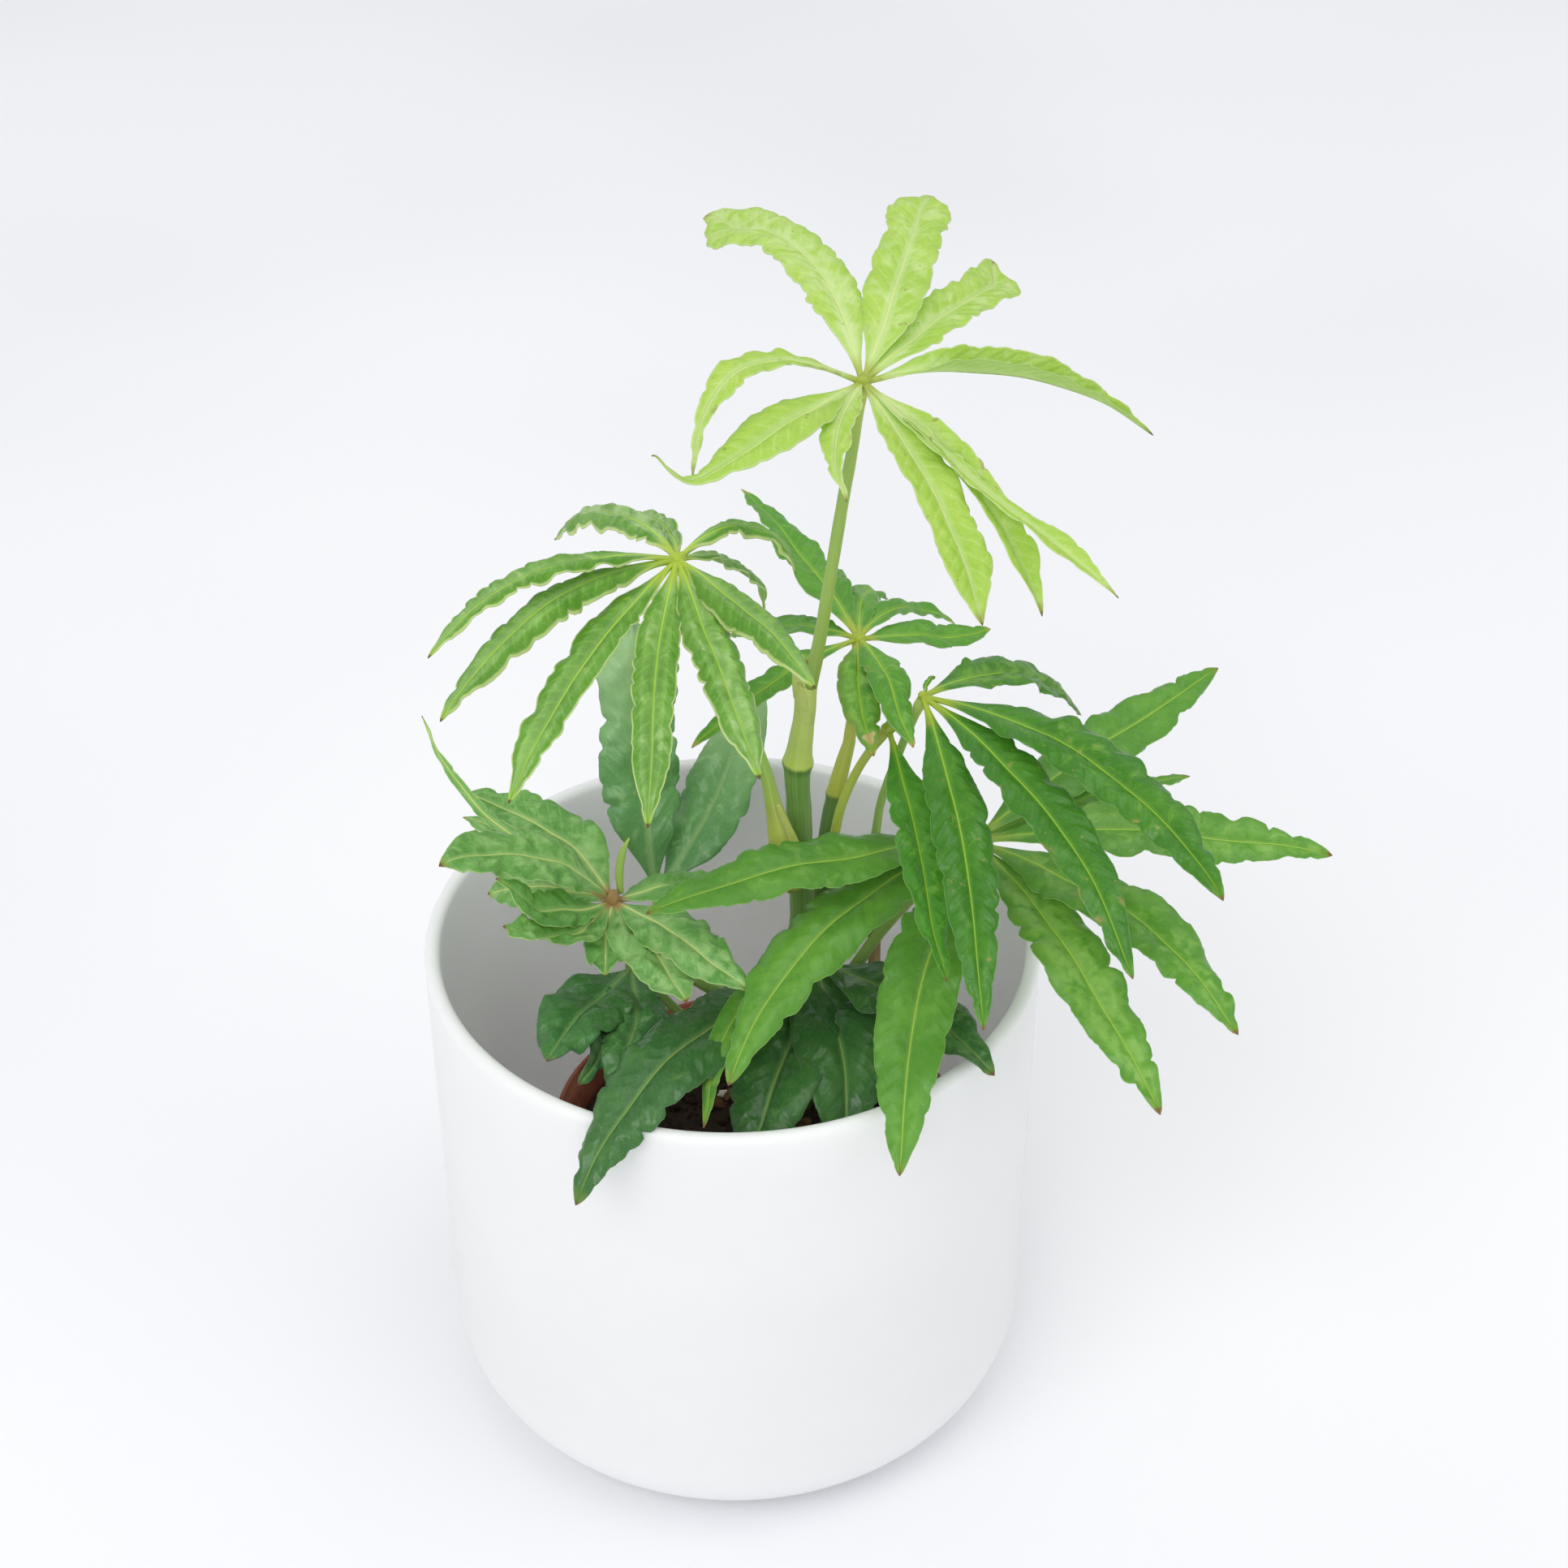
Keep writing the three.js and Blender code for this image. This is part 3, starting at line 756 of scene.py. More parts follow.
mainStemLook = {
    "rows": [[20, 1, stemFoot, 4.1], [20, 1, 114, 4.1], [20, 1, 134, 4.0], [20.4, 1, 168, 3.7],
             [19.8, 1, 190, 3.6], [19.1, 1, 210, 3.5], [18.8, 1, 216, 3.6], [18.9, 1, 222.5, 4.0],
             [19.7, 1, 230, 3.4], [20.8, 1, 240, 3.0], [21.2, 1, 249, 2.9]],
    "swellings": [(0.15, 0.5, 1.6), (0.3, 0.5, 1.4), (0.47, 0.45, 1.4), (0.63, 0.4, 1.3), (0.84, 0.4, 1.6)],
    "finish": {
        "along": [(0.0, "#4d5a2c"), (0.25, "#5d7a3a"), (0.55, "#628a40"), (0.822, "#6f9c48"),
                  (0.838, "#507a32"), (0.843, "#b6cc58"), (0.88, "#b2c862"), (1.0, "#bccc6e")],
        "drift": 0.012, "streaks": 26.0, "streakStrength": 0.35, "streak": "#c3cf8a", "blotch": "#6f8f45",
        "specks": 0.25, "speck": "#7a6a3c", "roughness": 0.38, "glow": 0.12,
    },
}
secondStemLook = {
    "rows": [[26.5, 9.5, stemFoot, 3.5], [26.5, 9.5, 130, 3.4], [27, 10, 175, 3.2], [28, 10.5, 190, 2.9],
             [29.4, 13, 198, 3.1], [30.6, 15, 206, 2.5], [34, 21, 217, 1.8]],
    "swellings": [(0.2, 0.4, 1.4), (0.45, 0.4, 1.4), (0.68, 0.35, 1.3), (0.879, 0.4, 1.2)],
    "finish": {
        "along": [(0.0, "#4f5c2e"), (0.3, "#5c7d3c"), (0.876, "#4f7a30"), (0.882, "#b8be3e"),
                  (1.0, "#b6c050")],
        "drift": 0.01, "streaks": 24.0, "streak": "#c0cd84", "blotch": "#6f9146",
        "specks": 0.2, "speck": "#7a6a3c", "roughness": 0.38, "glow": 0.12,
    },
}
driedStubLook = {
    "rows": [[43, 10, stemFoot, 1.8], [42.8, 10, 125, 1.7], [42, 10, 150, 1.8], [42, 10, 157, 1.9]],
    "finish": {
        "along": [(0.0, "#6b4d30"), (0.4, "#b99a68"), (0.85, "#c7ac7c"), (1.0, "#8a6840")],
        "streaks": 15.0, "streakStrength": 0.7, "streak": "#e2d0a6", "blotch": "#93744a",
        "specks": 0.6, "speck": "#5d4128", "roughness": 0.7, "glow": 0.0, "relief": 0.8,
    },
}
petioleFinishes = {
    "plain": {
        "along": [(0.0, "#8aa850"), (0.2, "#90b557"), (0.85, "#9cc062"), (1.0, "#b4c95e")],
        "streak": "#bcd58c", "blotch": "#7ea74e", "speck": "#7f7a45", "roughness": 0.36, "glow": 0.2,
    },
    "young": {
        "along": [(0.0, "#8ba64a"), (0.15, "#93b04e"), (0.8, "#9cba58"), (1.0, "#bcc456")],
        "streak": "#bccf86", "blotch": "#86a646", "specks": 0.08,
    },
    "sheathed": {
        "along": [(0.0, "#b2b848"), (0.12, "#bcc050"), (0.24, "#aabc4e"), (0.4, "#8fb855"),
                  (0.9, "#88b64e"), (1.0, "#b4c34c")],
        "streaks": 18.0, "streakStrength": 0.4, "streak": "#dcd988", "blotch": "#a9b24c",
    },
    "olive": {
        "along": [(0.0, "#aebc42"), (0.5, "#b0bf4a"), (1.0, "#b0bc4c")],
        "streak": "#ccd584", "blotch": "#9aac42",
    },
}
sheathFinish = {
    "along": [(0.0, "#a6b64c"), (0.5, "#b6c456"), (1.0, "#bccc70")],
    "streaks": 30.0, "streakStrength": 0.45, "streak": "#e0e0a0", "blotch": "#a3b052",
    "speck": "#8d7a48", "roughness": 0.4, "glow": 0.3,
}
scaleFinish = {
    "along": [(0.0, "#b0c45e"), (0.5, "#b8ca6c"), (0.85, "#bcc86c"), (1.0, "#aeb060")],
    "streaks": 26.0, "streakStrength": 0.25, "streak": "#dbdca6", "blotch": "#a29e5c",
    "speck": "#7d6338", "roughness": 0.5, "glow": 0.15, "relief": 0.4,
}

petioleLooks = {
    "topLeafStalk": {
        "finish": "young",
        "rows": [[22.2, 0, 249.5, 2.0], [23.6, -1, 258, 1.9], [25.3, -2, 270, 1.75],
                 [27.3, -3.5, 286, 1.65], [30.4, -5, 310.5, 1.6], [32.8, -7, 328.5, 1.5],
                 [34.6, -7.9, 345, 1.4]],
        "swellings": [(0.97, 0.3, 2.5)],
    },
    "leftLeafStalk": {
        "finish": "sheathed",
        "rows": [[16.6, -4.2, 184, 3.0], [15.4, -7.6, 197, 4.3], [13.9, -8.4, 206, 3.5],
                 [11.7, -8.2, 217, 2.1], [9, -8, 230, 1.5], [1.8, -6.5, 249, 1.4],
                 [-6, -6.2, 272, 1.4], [-12.8, -7.9, 293.6, 1.4]],
        "swellings": [(0.98, 0.3, 2.5)],
        "sheath": {"rows": [[17.4, -3.8, 184, 3.4], [16.4, -6.6, 194, 4.1], [15.2, -7.7, 202, 3.9],
                            [13.2, -8.1, 211, 2.7], [12, -8.1, 216, 2.1]],
                   "opening": 1.5, "facing": 2.3, "thickness": 0.35, "flare": 0.12},
    },
    "middleLeafStalk": {
        "finish": "sheathed",
        "rows": [[33.6, 20.2, 215.6, 1.75], [35.4, 27.5, 226, 1.65], [36, 32, 232.5, 1.6],
                 [36.4, 36, 241.2, 1.5]],
        "swellings": [(0.96, 0.3, 2.5)],
    },
    "rightLeafStalk": {
        "finish": "plain",
        "rows": [[29.6, 12.5, 146, 2.0], [37, 15, 168, 1.5], [41.6, 14.6, 187, 1.3], [43, 14.4, 199, 1.2],
                 [47.6, 12, 218, 1.2], [53.4, 6.2, 241, 1.2]],
        "swellings": [(0.97, 0.4, 2.5), (0.03, 0.6, 5)],
    },
    "narrowLeafStalk": {
        "finish": "olive",
        "rows": [[28.2, 7.6, 183, 1.5], [29.6, 5.2, 195, 1.4], [31.7, 6.4, 205, 1.3],
                 [36.6, 9.2, 216, 1.25], [43.6, 11.9, 226, 1.25]],
        "swellings": [(0.97, 0.3, 2)],
    },
    "wideLeafStalk": {
        "finish": "plain",
        "rows": [[23.6, -0.6, 130, 2.0], [33, -4, 148, 1.8], [45, -6, 171, 1.7], [58, -6, 188, 1.6],
                 [68.6, -4.2, 198.4, 1.5]],
        "swellings": [(0.98, 0.4, 2.5), (0.04, 0.8, 5)],
    },
    "lowLeftLeafStalk": {
        "finish": "plain",
        "rows": [[16.4, 0, 124.5, 2.0], [4, -8, 141, 1.8], [-12, -17, 160, 1.6], [-26, -22, 179, 1.5],
                 [-32.7, -22.1, 190.6, 1.5]],
        "swellings": [(0.98, 0.3, 2.5), (0.04, 0.8, 5)],
    },
    "backLeafStalk": {
        "finish": "plain",
        "rows": [[17.4, 3, 114, 2.0], [4, 14, 121, 1.8], [-13, 27, 132, 1.7], [-23.9, 34, 149, 1.6]],
        "swellings": [(0.98, 0.3, 2.5), (0.04, 0.6, 5)],
    },
    "rimLeafStalk": {
        "finish": "plain",
        "rows": [[20.6, -2.6, 113, 2.0], [23, -10, 134, 1.8], [24, -13.4, 149, 1.7], [24, -14, 162, 1.6]],
        "swellings": [(0.98, 0.3, 2.5), (0.04, 0.6, 5)],
    },
    "darkLeafStalk": {
        "finish": "plain",
        "rows": [[17.2, -1.8, 105.6, 1.8], [5, -11, 120, 1.6], [-11, -17, 141, 1.5],
                 [-28, -18.1, 163.6, 1.4]],
        "swellings": [(0.98, 0.3, 2.5), (0.04, 0.6, 5)],
    },
}


def put(shell, form, kind=0):
    points, faces, stalkMap = form
    shell.add(points, faces, kind, stalkMap=stalkMap)


def stems():
    rng = random.Random(5)
    for name, look in {"mainStem": mainStemLook, "secondStem": secondStemLook}.items():
        shell = Shell("stalkMap")
        put(shell, stalkForm(look["rows"], rng, around=36, spacing=0.8, swellings=look["swellings"],
                             ridges=0.02, ridgeCount=9))
        skin = stalkMaterial(name + "Skin", look["finish"])
        addPiece(name, shell.mesh(name), [nodeName(name)], [skin])
    stub = Shell("stalkMap")
    put(stub, stalkForm(driedStubLook["rows"], rng, around=18, spacing=1.0, ridges=0.12, ridgeCount=5))
    dried = stalkMaterial("driedStalk", driedStubLook["finish"])
    addPiece("driedStub", stub.mesh("driedStub"), ["dried_stalk_stub"], [dried])


def leafStalks():
    rng = random.Random(6)
    names = {"plain": "leafStalk", "young": "youngLeafStalk", "sheathed": "sheathedLeafStalk",
             "olive": "oliveLeafStalk"}
    finishes = {key: stalkMaterial(name, petioleFinishes[key]) for key, name in names.items()}
    sheath = stalkMaterial("sheathSkin", sheathFinish)
    for name, look in petioleLooks.items():
        shell = Shell("stalkMap")
        put(shell, stalkForm(look["rows"], rng, around=20, spacing=1.2, swellings=look["swellings"],
                             ridges=0.03, ridgeCount=4))
        if "sheath" in look:
            wrap = look["sheath"]
            put(shell, sheathForm(wrap["rows"], rng, wrap["opening"], wrap["facing"], wrap["thickness"],
                                  wrap["flare"]), kind=1)
        skins = [finishes[look["finish"]], sheath]
        addPiece(name, shell.mesh(name), [nodeName(name)], skins)


smallGrowthLook = {
    "bud": [[20.1, 0.6, 245, 2.5], [19.8, 0.6, 250, 2.7], [19.7, 0.6, 254.5, 2.5], [19.9, 0.6, 257.5, 1.6]],
    "wrap": [[20.8, 1, 240, 2.7], [21.0, 1, 243.5, 3.0], [21.2, 1, 248, 2.95], [21.0, 1, 251, 2.7]],
    "shoot": [[-31, -19, 192, 1.0], [-31.2, -16.6, 198, 1.3], [-30, -15.2, 204, 1.0],
              [-28.2, -15, 208.4, 0.2]],
}


def smallGrowth(look):
    rng = random.Random(7)
    bud = Shell("stalkMap")
    put(bud, stalkForm(look["bud"], rng, around=18, spacing=0.7, ridges=0.05, ridgeCount=4, flat=0.35))
    put(bud, sheathForm(look["wrap"], rng, opening=1.7, facing=1.2, thickness=0.3, flare=0.05))
    scale = stalkMaterial("driedScale", scaleFinish)
    addPiece("stemTipBud", bud.mesh("stemTipBud"), ["stem_tip_bud"], [scale])
    shoot = Shell("stalkMap")
    put(shoot, stalkForm(look["shoot"], rng, around=16, spacing=0.6, ridges=0.05, ridgeCount=4, flat=0.3))
    skin = stalkMaterial("shootSkin", petioleFinishes["young"])
    addPiece("youngShoot", shoot.mesh("youngShoot"), ["young_shoot"], [skin])


stems()
leafStalks()
smallGrowth(smallGrowthLook)
print("stems and stalks are made")

# Leaf blades

# What every leaf starts from, in millimetres and degrees. Its own settings below go over these,
# and those of a single leaflet, kept under its bearing, go over both. A leaflet may also set
# curl, how far its tip droops, and hook, how far its tip turns left.
leafShape = {
    "thickness": 0.4,
    "fold": 0.12,  # how steeply the halves rise from the midrib
    "dome": 0.14,
    "edgeDroop": 0.12,
    "crease": 0.0,  # how far the outer strips bend down
    "quilt": 0.75,
    "wave": 1.3,  # of the whole leaflet
    "ruffle": 2.0,  # of its margin
    "notch": 1.2,  # depth of the cuts in the margin
    "lobes": 0.1,  # cuts for each millimetre
    "twist": 6,
    "lean": 0,  # raises the left margin, seen from the hub outwards
    "turnOver": 0,  # the same, but growing towards the tip
    "sway": 0.0,  # to the left, in the middle
    "stretch": 1.0,
    "broaden": 1.0,
    "blunt": 0.0,  # how much wider the end is, at bluntAt
    "bluntAt": 0.84,
    "bluntSpread": 0.11,
    "tail": 0.0,  # how far the end narrows, from tailFrom on
    "tailFrom": 0.55,
    "bladeFrom": 0.12,  # the narrow hub end passes into the blade between these
    "bladeFull": 0.4,
    "curlFrom": 0.72,
    "hookFrom": 0.7,
    "creaseFrom": 0.55,  # share of the half width
    "deepestCut": 0.35,  # share of the half width
    "hubHalf": 0.8,  # half width at the hub
    "tipHalf": 0.12,
    "rib": 0.42,  # how far the midrib stands out below
    "ribHalf": 0.55,
    "rowSpacing": 1.15,
    "scorch": 0.0,  # 2 gives a dry patch near the tip
    "knob": (1, 1, 0.85),  # the hub's own shape
}
leafSkin = {
    "light": 0.2,  # share of the light that comes through
    "gloss": 0.2,
    "veins": 0.2,
    "mottle": 0.5,
    "specks": 0.12,
    "blister": 0.5,
    "paintedShadeStrips": 0.0,  # painted shade on the strips outside the middle band
    "paintedSheen": 0.0,  # painted sheen, a paler middle band
    "paleTip": 0.0,
    "ribWidth": 0.4,
    "marginWidth": 0.15,
    "hubReach": 0.1,
}

# The lie of every leaflet comes from the frame's solids, apart from the drawn ones, which hold
# bearing, reach, fall, width, arch, sway, roll and hook. hub is in millimetres. Skin colours:
# shade and pale lie in patches over base; shade is also painted shade near the margins and on the
# outer strips, and pale a painted sheen on the middle band. under is the lower side and through is
# the light that comes through the blade.
leafLooks = {
    "topLeaf": {
        "slot": "leaf_young", "hub": (34.8, -8, 346), "seed": 21,
        "fold": 0.3, "dome": 0.1, "wave": 1.1, "ruffle": 0.8, "notch": 1.0, "lobes": 0.15, "twist": 22,
        "quilt": 0.5, "thickness": 0.36,
        "drawn": [(-133, 72, 8, 14, 2, 1, -10, -4), (-134, 60, -9, 8, 7, -10, -10, 12)],
        "leaflets": {
            118: {"blunt": 1.0, "hook": -2.0, "curl": -7.0, "turnOver": -36, "twist": 2, "fold": 0.12,
                  "sway": 1.0, "stretch": 1.02},
            78: {"blunt": 0.7, "hook": -3.0, "curl": 0.5, "twist": 4, "fold": 0.08, "stretch": 1.05,
                 "broaden": 0.95},
            58: {"blunt": 0.7, "hook": 8.0, "curl": 0.5, "twist": 8, "fold": 0.15, "sway": -4.0,
                 "broaden": 0.9},
            20: {"ruffle": 0.5, "notch": 0.6, "fold": 0.65, "lean": 3, "twist": 2, "wave": 0.6,
                 "broaden": 1.3, "tail": 0.35},
            -51: {"ruffle": 0.5, "notch": 0.6, "fold": 0.5, "wave": 0.6, "lean": -8, "broaden": 0.7,
                  "blunt": 1.6},
            -59: {"ruffle": 0.5, "notch": 0.5, "fold": 0.5, "wave": 0.6, "lean": 5, "broaden": 1.25,
                  "blunt": 0.7},
            -67: {"ruffle": 1.0, "notch": 0.6, "fold": 0.45, "wave": 0.8, "twist": 4, "sway": -3.0,
                  "blunt": 0.6, "broaden": 0.95, "quilt": 0.9},
            -101: {"hook": 3.0, "curl": -2.0, "tail": 0.4, "broaden": 0.9},
            -133: {"tail": 0.6, "tailFrom": 0.42, "notch": 0.5, "ruffle": 0.4, "fold": 0.2, "dome": 0.25,
                   "curl": -11.0, "hook": -3.0, "twist": 4, "broaden": 1.2, "stretch": 1.04},
            -134: {"twist": 10, "tail": 0.4, "notch": 0.9, "curl": 3.0, "broaden": 1.25},
        },
        "skin": {
            "base": "#dcea7e", "shade": "#b3d358", "pale": "#fbfbe3", "rib": "#eaf3a6",
            "vein": "#fbfbc4", "margin": "#dfe9b4", "hub": "#b9bf50", "tip": "#a9a155",
            "burn": "#6d4b33", "speck": "#8a5a35", "under": "#d4ec9e", "through": "#dcf595",
            "light": 0.4, "paintedShadeStrips": 0.25, "gloss": 0.36, "mottle": 0.35, "specks": 0.5, "ribWidth": 0.55,
            "marginWidth": 0.35,
        },
    },
    "leftLeaf": {
        "slot": "leaf_bright", "hub": (-13, -8, 294.5), "seed": 22,
        "fold": 0.38, "dome": 0.16, "wave": 0.8, "ruffle": 1.0, "notch": 1.0, "lobes": 0.12, "twist": 8,
        "edgeDroop": 0.3, "crease": 0.7, "broaden": 1.12, "quilt": 0.6, "thickness": 0.36,
        "leaflets": {
            -116: {"blunt": 0.3},
            -93: {"blunt": 0.3, "notch": 0.8},
            -75: {"blunt": 0.25},
            -59: {"stretch": 0.94, "hook": 1.0},
            126: {"blunt": 0.3, "notch": 1.4, "ruffle": 1.2, "broaden": 0.8},
            107: {"blunt": 0.3, "notch": 1.4, "ruffle": 1.2, "broaden": 0.6, "stretch": 0.95},
        },
        "skin": {
            "base": "#9bcb5a", "shade": "#5a9429", "pale": "#cfe6ae", "rib": "#c6ec52",
            "vein": "#a8d568", "margin": "#e6f0a8", "hub": "#c6d84c", "tip": "#a5cc4c",
            "burn": "#70452f", "speck": "#a98a50", "under": "#b5d291", "through": "#c6f14d",
            "light": 0.26, "paleTip": 0.1, "paintedShadeStrips": 0.55, "paintedSheen": 0.12, "gloss": 0.28, "veins": 0.35,
            "mottle": 0.6, "ribWidth": 0.42, "marginWidth": 0.38, "hubReach": 0.17,
        },
    },
    "middleLeaf": {
        "slot": "leaf_deep", "hub": (36.4, 36, 242), "seed": 23,
        "fold": 0.18, "dome": 0.12, "wave": 1.0, "ruffle": 0.9, "notch": 1.0, "twist": 10, "quilt": 0.7,
        "thickness": 0.38,
        "leaflets": {
            -85: {"scorch": 2.0, "curl": 0.0, "hook": -0.5},
            115: {"notch": 1.7, "lobes": 0.08, "ruffle": 1.3},
        },
        "skin": {
            "base": "#76b73e", "shade": "#599833", "pale": "#b3db68", "rib": "#b4da4b",
            "vein": "#8acb54", "margin": "#a4c684", "hub": "#c2cc46", "tip": "#c4b45c",
            "burn": "#b88a50", "speck": "#b07a3c", "under": "#97b676", "through": "#c3fb47",
            "paintedShadeStrips": 0.4, "gloss": 0.26, "veins": 0.22, "specks": 0.2, "blister": 0.4, "ribWidth": 0.36,
            "marginWidth": 0.2, "hubReach": 0.16,
        },
    },
    "rightLeaf": {
        "slot": "leaf_deep", "hub": (53.6, 6, 242), "seed": 24,
        "fold": 0.2, "wave": 1.2, "ruffle": 1.3, "lobes": 0.09, "twist": 8, "knob": (0.7, 0.7, 0.65),
        "thickness": 0.38,
        "leaflets": {
            72: {"broaden": 0.35, "notch": 0.3, "ruffle": 0.3, "stretch": 0.75},
        },
        "skin": {
            "base": "#57962d", "shade": "#407f25", "pale": "#8bb94d", "rib": "#a3d246",
            "vein": "#61a438", "margin": "#7fb25c", "hub": "#bccb44", "tip": "#6da03c",
            "burn": "#8a6a40", "speck": "#c99a62", "under": "#89af6d", "through": "#99d736",
            "paintedShadeStrips": 0.5, "mottle": 0.65, "specks": 0.45, "ribWidth": 0.36, "hubReach": 0.13,
        },
    },
    "narrowLeaf": {
        "slot": "leaf_deep", "hub": (44.6, 12, 227), "seed": 25,
        "fold": 0.2, "wave": 1.0, "ruffle": 1.3, "thickness": 0.38,
        "skin": {
            "base": "#61aa35", "shade": "#49902b", "pale": "#96c951", "rib": "#aad948",
            "vein": "#69b03d", "margin": "#8cb868", "hub": "#bccb44", "tip": "#6da03c",
            "burn": "#8a6a40", "speck": "#c99a62", "under": "#8fb46f", "through": "#a4e439",
            "specks": 0.15, "ribWidth": 0.36, "hubReach": 0.13,
        },
    },
    "wideLeaf": {
        "slot": "leaf_mid", "hub": (69, -4, 199), "seed": 26,
        "dome": 0.12, "wave": 1.8, "ruffle": 1.7, "notch": 1.6, "lobes": 0.07, "twist": 8,
        "leaflets": {
            -135: {"sway": -3.0, "hook": 4.0, "stretch": 1.06, "broaden": 1.1, "notch": 0.5, "ruffle": 0.6},
        },
        "skin": {
            "base": "#79b343", "shade": "#5b9737", "pale": "#a1ca69", "rib": "#b7de57",
            "vein": "#8bc04f", "margin": "#98c66c", "hub": "#b8cc4c", "tip": "#7fa33f",
            "burn": "#8a6a40", "speck": "#b98c55", "under": "#a1c37c", "through": "#b4e745",
            "light": 0.24, "paintedShadeStrips": 0.35, "gloss": 0.24, "veins": 0.1, "mottle": 0.65, "blister": 0.2,
            "hubReach": 0.12,
        },
    },
    "lowLeftLeaf": {
        "slot": "leaf_pale", "hub": (-33, -22, 191.5), "seed": 27,
        "fold": 0.16, "ruffle": 1.6, "twist": 10, "knob": (1.0, 1.0, 2.0), "quilt": 1.2,
        "drawn": [(141.5, 58, -3, 7, 3, 0, 0, 0)],
        "leaflets": {
            -148: {"blunt": 0.35, "lean": -15},
            -141: {"blunt": 0.4, "fold": 0.3, "lean": -25, "broaden": 1.35},
            -129: {"blunt": 0.4, "fold": 0.35, "lean": -15, "broaden": 1.2},
            165: {"lean": -30, "broaden": 1.5, "blunt": 0.3},
            141.5: {"blunt": 1.2, "ruffle": 0.3, "notch": 0.2, "wave": 0.3, "curl": 0.0, "hook": 0.0},
            144: {"broaden": 0.75, "wave": 3.0, "ruffle": 0.8, "notch": 0.5},
        },
        "skin": {
            "base": "#8cc56b", "shade": "#619e4a", "pale": "#cdeea4", "rib": "#e5f199",
            "vein": "#a0d379", "margin": "#bcd890", "hub": "#b97c5c", "tip": "#9aa84c",
            "burn": "#7a4f30", "speck": "#a9804e", "under": "#b4d599", "through": "#c6f264",
            "light": 0.24, "gloss": 0.26, "veins": 0.3, "mottle": 0.46, "specks": 0.15, "blister": 0.4,
            "ribWidth": 0.46, "marginWidth": 0.22, "hubReach": 0.12,
        },
    },
    "backLeaf": {
        "slot": "leaf_blue_green", "hub": (-24, 34.5, 150), "seed": 28,
        "dome": 0.1, "wave": 1.4, "notch": 1.4, "lobes": 0.08, "quilt": 0.9,
        "leaflets": {
            98: {"blunt": 0.8, "notch": 2.0, "ruffle": 2.4},
        },
        "skin": {
            "base": "#82ba6e", "shade": "#639d5a", "pale": "#bcdca1", "rib": "#97bd6e",
            "vein": "#7eb473", "margin": "#7eae80", "hub": "#7fa04a", "tip": "#86a57a",
            "burn": "#93ab92", "speck": "#7f8f55", "under": "#8eb58b", "through": "#9bce59",
            "light": 0.18, "paleTip": 0.6, "veins": 0.1, "specks": 0.05, "blister": 0.25,
            "marginWidth": 0.12,
        },
    },
    "rimLeaf": {
        "slot": "leaf_blue_green", "hub": (24, -14, 163), "seed": 29,
        "wave": 2.0, "notch": 1.3, "lobes": 0.08, "quilt": 1.1,
        "leaflets": {
            -128: {"wave": 2.5, "ruffle": 2.2, "notch": 1.8, "broaden": 1.2},
            -107: {"broaden": 1.3},
            -82: {"broaden": 1.3},
            -46: {"broaden": 1.3},
        },
        "skin": {
            "base": "#568a44", "shade": "#3e6f38", "pale": "#88b26d", "rib": "#94b15b",
            "vein": "#598d4b", "margin": "#688e5c", "hub": "#8fa848", "tip": "#6f9040",
            "burn": "#7a5a38", "speck": "#9a8a50", "under": "#799d74", "through": "#7eb03c",
            "light": 0.18, "gloss": 0.16, "veins": 0.12, "specks": 0.08, "blister": 0.35, "ribWidth": 0.42,
            "marginWidth": 0.12,
        },
    },
    "darkLeaf": {
        "slot": "leaf_blue_green", "hub": (-28.6, -18, 164.5), "seed": 30,
        "lobes": 0.09, "quilt": 1.1,
        "leaflets": {
            -119: {"broaden": 1.15},
            -106: {"broaden": 1.3},
            -94: {"broaden": 1.15},
        },
        "skin": {
            "base": "#5a9549", "shade": "#41783d", "pale": "#9ccd87", "rib": "#8db35f",
            "vein": "#599659", "margin": "#5c9468", "hub": "#7f9a48", "tip": "#5f8040",
            "burn": "#7a5a38", "speck": "#6a7a48", "under": "#759d73", "through": "#7fbb48",
            "light": 0.16, "gloss": 0.16, "veins": 0.12, "specks": 0.05, "blister": 0.35,
            "marginWidth": 0.12,
        },
    },
}


bladeDetail = {
    "veinSpacing": 4.6,  # millimetres between side veins
    "veinSlant": 1.15,
    "veinSharpness": 14.0,
    "scorch": "#dcc08e",
    "scorchAlong": (0.885, 0.06),  # middle and half length of the dry patch, as shares
    "scorchAcross": (0.1, 0.7),
    "shadedStripEdge": (0.55, 0.64),  # where the painted shade of the side strips begins, as shares outwards
    # where the painted sheen of the middle band fades out, as shares outwards
    "paintedSheenEdge": (0.5, 0.6),
    "tipTint": (0.945, 0.985),  # shares along
    "tipBurn": (0.983, 0.992),
}


